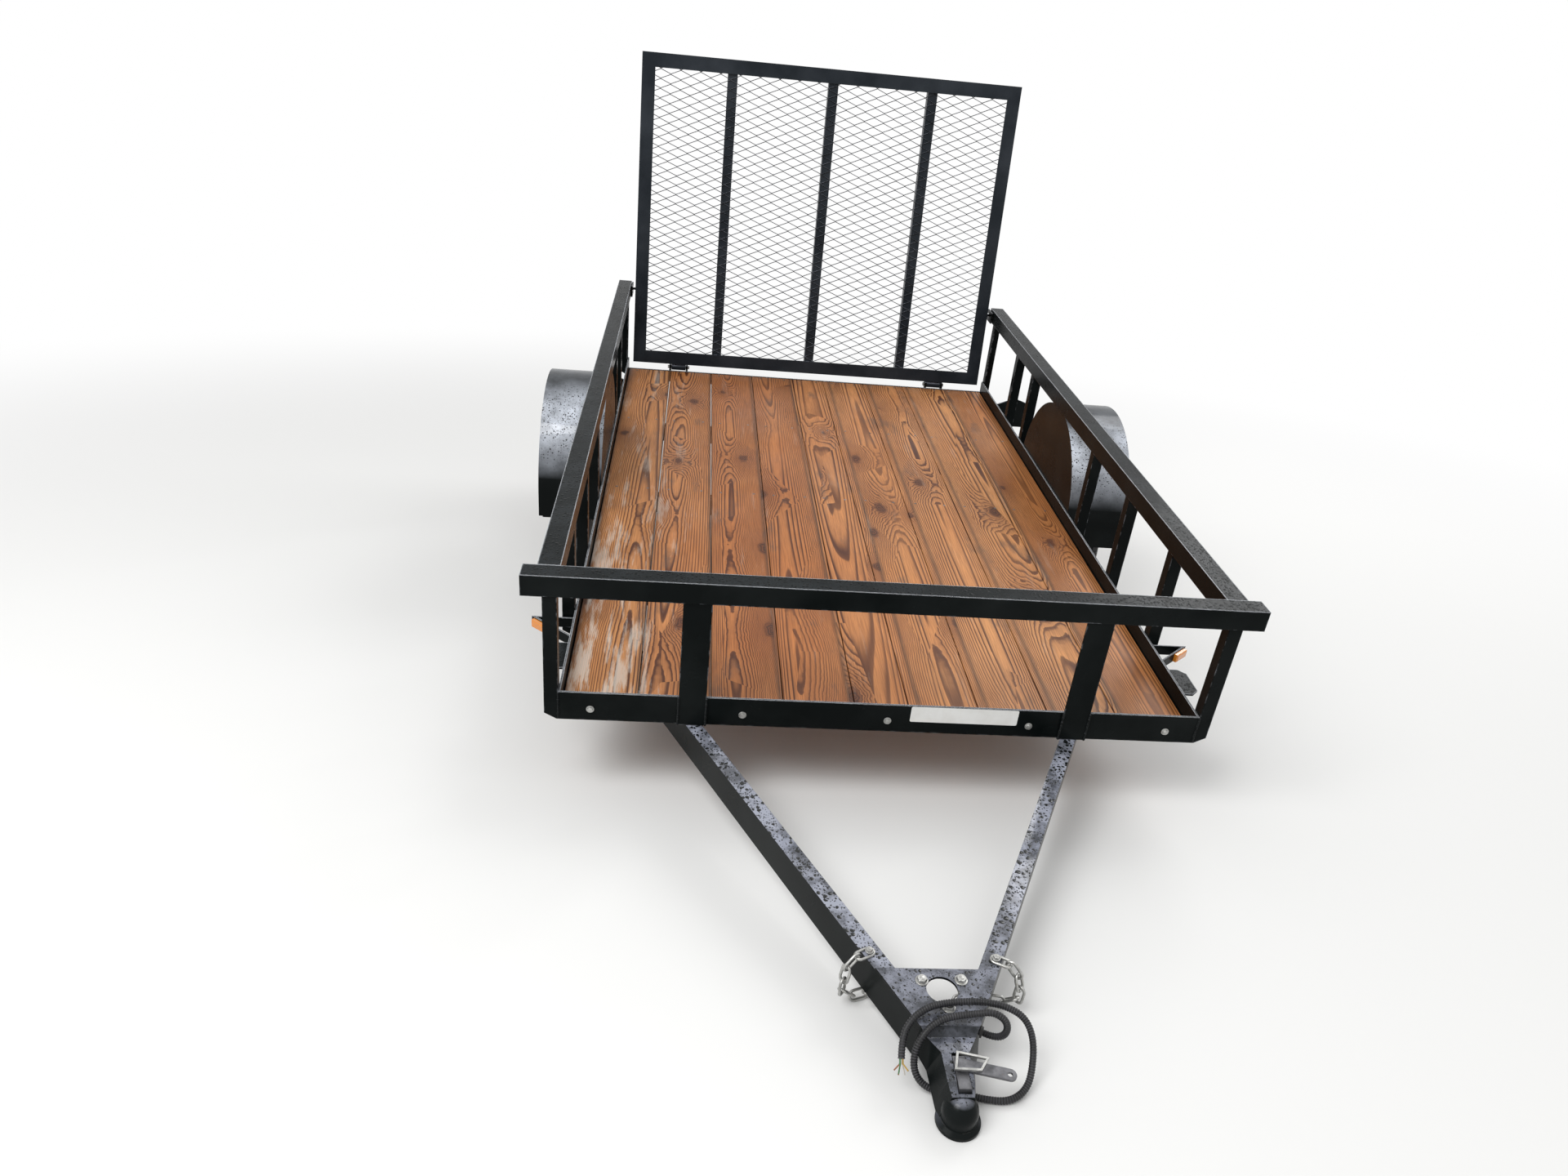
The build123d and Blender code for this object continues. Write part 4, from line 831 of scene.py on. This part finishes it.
def boltHead(work, middle, outward, radius, height, corners=24):
    outward = outward.normalized()
    first = outward.orthogonal().normalized()
    second = outward.cross(first)
    sixth = pi / 3

    def corner(turn, sixSided, reach, up):
        reach *= radius
        if sixSided:
            reach *= cos(sixth / 2) / cos(turn % sixth - sixth / 2)
        return middle + (first * cos(turn) + second * sin(turn)) * reach + outward * up * height
    rings = [ringOf(work, corners, lambda turn: corner(turn, *row)) for row in boltRows]
    bridge(work, rings)
    work.faces.new(rings[-1])


def buildBolts(values):
    def heads(work):
        for x in values["frontBolts"]:
            place = parkedPlace(x, 0.0, values["frontHeight"])
            boltHead(work, place, parkedWay(0, -1, 0), values["boltRadius"], values["frontHead"])
        for x, y in values["plateBolts"]:
            place = parkedPlace(x, y, values["plateTop"])
            boltHead(work, place, parkedWay(0, 0, 1), values["plateRadius"], values["plateHead"])
        for y, z in values["pegs"]:
            for word, side in sides:
                place = parkedPlace(side * values["pegSide"], y, z)
                boltHead(work, place, parkedWay(side, 0, 0), values["boltRadius"], values["pegHead"])
    made = meshObject("boltHeads", heads, zinc, values["smooth"])
    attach(made, "chassis")


def buildStuds(values):
    def studs(work):
        # a shank through each chain's first link and a small nut that leaves the link in sight
        for low, high, places in islands("chain_anchors"):
            x, y = (low.x + high.x) / 2, (low.y + high.y) / 2
            top = low.z + values["linkTop"]
            bridge(work, [ringOf(work, values["shankCorners"], lambda turn: parkedPlace(
                x + values["shank"] * cos(turn), y + values["shank"] * sin(turn), z))
                for z in (low.z, low.z + 0.001, top)])
            boltHead(work, parkedPlace(x, y, top), parkedWay(0, 0, 1), values["studNut"], values["studHead"])
    made = meshObject("anchorStuds", studs, zinc, values["smooth"])
    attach(made, "chassis")
    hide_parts("chain_anchors")


def buildNuts(word, side, values):
    middle = Vector((0, *boxMiddle("hub_" + word)[1:]))
    disc = [Vector(vertex.co) for vertex in nodes["rim_" + word].data.vertices]

    def nuts(work):
        # one on each stud, seated on the rim's disc
        for number in range(values["nuts"]):
            turn = tau * number / values["nuts"]
            spot = middle + parkedWay(0, cos(turn), side * sin(turn)) * (values["nutCircle"] / 2)
            seat = max(side * place.x for place in disc if (place - spot).yz.length < values["nutSeat"])
            spot.x = side * seat
            boltHead(work, spot, Vector((side, 0, 0)), values["nutRadius"], values["nutHeight"])
    made = meshObject("wheelNuts_" + word, nuts, zinc, values["smooth"])
    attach(made, "wheel_" + word)


def screwTree():
    tree, given = newTree("deckScrews", (("Shape", "Object", None), ("Seed", "Int", 4)))
    chance = addNode("FunctionNodeRandomValue", {"Seed": given["Seed"]}, data_type="FLOAT").outputs[1]
    spread = onPoints(given["Geometry"], seedShape(given["Shape"]), Rotation=combine(z=times(chance, 6.0)))
    return closeTree(tree, spread, given, False)


def buildScrews(values):
    def screwSeed(work):
        # a countersunk deck screw with a square recess
        def level(reach, height, start=0.0):
            return ringOf(work, values["screwCorners"], lambda turn: (
                values["screwRadius"] * reach * cos(turn), values["screwRadius"] * reach * sin(turn),
                height), start)
        rings = [level(1.0, 0.0), level(1.0, 0.0003), level(0.86, 0.0007), level(0.42, 0.00075),
                 level(0.34, -0.0006, 0.5)]
        bridge(work, rings)
        work.faces.new(rings[-1])

    def places(work):
        for number in range(1, values["boards"] + 1):
            low, high, corners = islands("deck_board_%d" % number)[0]
            for y in values["boardEnds"] + values["crossRows"]:
                for share in values["boardShares"]:
                    jog = values["jog"] * sin(number * 7.3 + y * 11.0 + share * 5.0)
                    x = low.x + (high.x - low.x) * share + jog
                    work.verts.new((x, y + jog * 0.5, values["deckTop"]))
    spots = meshObject("screwPlaces", places, outward=False)
    screws = sown("deckScrews", spots, screwTree(), screwSeed, bareSteel, {"Seed": 4})
    screws.data.transform(parked)
    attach(screws, "chassis")


buildBolts(fastenerValues)
buildStuds(fastenerValues)
for word, side in sides:
    buildNuts(word, side, fastenerValues)
buildScrews(fastenerValues)
print("fasteners set")


# weld beads round the posts and at the tongue
weldValues = {"pitch": 0.0034, "width": 0.0034, "postFoot": (0.004, 0.072), "postTop": (0.001, 0.03),
              "sunk": 0.0005, "frontFace": -0.005, "frontFoot": (-0.0052, 0.002, 0.074), "frontTop": 0.025,
              "tongue": (0.467, 0.433), "tonguePlace": (-0.0035, -0.0015)}


def weldTree():
    tree, given = newTree("weldBeads", (
        ("Shape", "Object", None), ("Pitch", "Float", 0.0034), ("Seed", "Int", 2)))
    line = shape("MeshToCurve", {0: given["Geometry"]})
    points = addNode("GeometryNodeCurveToPoints", {0: line, "Length": given["Pitch"]}, mode="LENGTH").outputs
    chance = addNode("FunctionNodeRandomValue", {"Seed": given["Seed"]}, data_type="FLOAT").outputs[1]
    spread = onPoints(points[0], seedShape(given["Shape"]), Rotation=points["Rotation"],
                      Scale=scaled(chance, 0.45, 0.75))
    return closeTree(tree, spread, given)


def buildWelds(values):
    def ripple(work):
        # one half-moon ripple, lying along Z
        rings = []
        for row in range(5):
            reach, height = values["width"] * sin(pi * row / 4), values["pitch"] * 0.75 * cos(pi * row / 4)
            rings.append(ringOf(work, 8, lambda turn: (reach * cos(turn), reach * sin(turn), height)))
        bridge(work, rings)
        bmesh.ops.remove_doubles(work, verts=work.verts, dist=1e-6)

    def runs(work):
        def line(first, second):
            work.edges.new((work.verts.new(first), work.verts.new(second)))
        foot, head = values["postFoot"]
        near, far = values["postTop"]
        for word, side in sides:
            for low, high, places in islands("posts_" + word):
                inner = low.x if side > 0 else high.x
                top = high.z - values["sunk"]
                for y in (low.y, high.y):
                    line((inner, y, foot), (inner, y, head))
                for y in (low.y, high.y):
                    line((inner + side * near, y, top), (inner + side * far, y, top))
        y, foot, head = values["frontFoot"]
        for low, high, places in islands("posts_front"):
            top = high.z - values["sunk"]
            for x in (low.x, high.x):
                line((x, y, foot), (x, y, head))
                line((x, values["frontFace"], top), (x, values["frontTop"], top))
        outer, inner = values["tongue"]
        for side in (-1, 1):
            line((side * outer, *values["tonguePlace"]), (side * inner, *values["tonguePlace"]))
    lines = meshObject("weldLines", runs, outward=False)
    beads = sown("weldBeads", lines, weldTree(), ripple, weldPaint, {"Pitch": values["pitch"], "Seed": 2})
    beads.data.transform(parked)
    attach(beads, "chassis")


buildWelds(weldValues)
print("welds laid")


# blank label on the front angle
labelValues = {"left": 0.058, "right": 0.317, "low": 0.031, "high": 0.074, "thick": 0.0004, "round": 0.004}


def buildLabel(values):
    def sheet(work):
        left, right, low, high = (values[word] for word in ("left", "right", "low", "high"))
        outline = []
        for number, (x, z, inX, inZ) in enumerate((
                (right, high, -1, -1), (left, high, 1, -1), (left, low, 1, 1), (right, low, -1, 1))):
            for step in range(7):
                turn = radians(90 * number + 15 * step)
                outline.append((x + values["round"] * (inX + cos(turn)),
                                z + values["round"] * (inZ + sin(turn))))
        rings = [[work.verts.new(parkedPlace(x, y, z)) for x, z in outline] for y in (0.0, -values["thick"])]
        work.faces.new(rings[1])
        work.faces.new(rings[0])
        bridge(work, rings)
    made = meshObject("blankLabel", sheet, blankLabel)
    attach(made, "chassis")


buildLabel(labelValues)
print("label stuck on")


# valve stems and the ribs of the lamps
trimValues = {"valveRadius": 0.0034, "valveFrom": 0.132, "valveOut": 0.012, "valveCorners": 14, "smooth": 40,
              "ribs": 7, "ribDepth": 0.0007, "ribEdge": 0.006, "ribEnd": 0.008}


def buildValve(word, side, values):
    middleX, middleY, middleZ = boxMiddle("rim_" + word)
    # rubber foot, slim neck and a capped end, pointing outboard from the rim's disc
    profile = [(0.0, 0.0001), (0.0, 2.0), (0.003, 2.0), (0.006, 1.35), (0.014, 1.15), (0.0145, 1.3),
               (0.0225, 1.3), (0.026, 1.05), (0.026, 0.0001)]

    def stem(work):
        bridge(work, [ringOf(work, values["valveCorners"], lambda turn: (
            middleX + side * (values["valveOut"] + along),
            middleY + values["valveRadius"] * reach * cos(turn),
            middleZ + values["valveFrom"] + values["valveRadius"] * reach * sin(turn)))
            for along, reach in profile])
        bmesh.ops.remove_doubles(work, verts=work.verts, dist=1e-6)
    made = meshObject("valveStem_" + word, stem, rubber, values["smooth"])
    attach(made, "wheel_" + word)


def buildLampRibs(values):
    def ribs(work):
        # upright ribs across each tail lamp's face
        for low, high, places in islands("tail_lamps"):
            step = (high.x - low.x - 2 * values["ribEdge"]) / values["ribs"]
            for number in range(values["ribs"]):
                x = low.x + values["ribEdge"] + step * (number + 0.5)
                corners = [work.verts.new(parkedPlace(x + across * step, high.y + out * values["ribDepth"], z))
                           for across, out in ((-0.34, 0.0), (-0.2, 1.0), (0.2, 1.0), (0.34, 0.0))
                           for z in (low.z + values["ribEnd"], high.z - values["ribEnd"])]
                for k in (0, 2, 4):
                    work.faces.new((corners[k], corners[k + 1], corners[k + 3], corners[k + 2]))
                work.faces.new(corners[0::2])
                work.faces.new(corners[1::2])
    made = meshObject("lampRibs", ribs, redLens)
    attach(made, "chassis")


for word, side in sides:
    buildValve(word, side, trimValues)
buildLampRibs(trimValues)
print("trim added")


# the floor that runs into a white background, and the lights: place, size, power and aim
stageValues = {
    "floorColour": (0.83, 0.83, 0.82), "floorMottle": 0.985, "floorSize": 40, "fadeFrom": 2.4, "fadeTo": 6.0,
    "skyFill": 0.62, "keyLight": ((-3.2, -3.4, 5.2), 3.5, 260.0, (0, 0, 0.4)),
    "rimLight": ((3.6, 3.0, 4.6), 3.0, 120.0, (0, 0.4, 0.5))}


def seenRay(tree):
    path = addNode("ShaderNodeLightPath", tree=tree).outputs
    bounced = maths("MAXIMUM", path["Is Glossy Ray"], path["Is Transmission Ray"])
    return maths("MAXIMUM", path["Is Camera Ray"], bounced)


def buildFloor(values):
    made, shader, place = newMaterial("stageFloor")
    tree = made.node_tree
    mottled = tuple(part * values["floorMottle"] for part in values["floorColour"])
    tone = colourMix(noise(place, 0.7, 2.0), values["floorColour"], mottled)
    feed(shader, {"Base Color": tone, "Roughness": 0.9})
    away = vectors("LENGTH", vectors("MULTIPLY", place, (1, 1, 0)))
    fade = mapRange(away, values["fadeFrom"], values["fadeTo"], interpolation_type="SMOOTHSTEP")
    white = addNode("ShaderNodeEmission", {"Color": (1, 1, 1, 1), "Strength": 1.0}, tree)
    both = addNode("ShaderNodeMixShader", {
        0: times(fade, seenRay(tree)), 1: shader.outputs[0], 2: white.outputs[0]})
    feed(tree.nodes["Material Output"], {0: both.outputs[0]})

    def sheet(work):
        bmesh.ops.create_grid(work, x_segments=1, y_segments=1, size=values["floorSize"])
    floor = meshObject("stageFloor", sheet, made, outward=False)


def buildLights(values):
    world = bpy.data.worlds.new("studio")
    world.use_nodes = True
    scene.world = world
    tree = world.node_tree
    strength = scaled(seenRay(tree), 1.0 - values["skyFill"], values["skyFill"])
    feed(tree.nodes["Background"], {"Strength": strength, "Color": (1, 1, 1, 1)})
    for name in ("keyLight", "rimLight"):
        place, size, power, aim = values[name]
        light = bpy.data.lights.new(name, "AREA")
        light.energy = power
        light.size = size
        lamp = placeObject(name, light)
        lamp.location = place
        lamp.rotation_euler = (Vector(aim) - Vector(place)).to_track_quat("-Z", "Y").to_euler()


buildFloor(stageValues)
buildLights(stageValues)
scene.view_settings.view_transform = "Standard"
print("stage set")
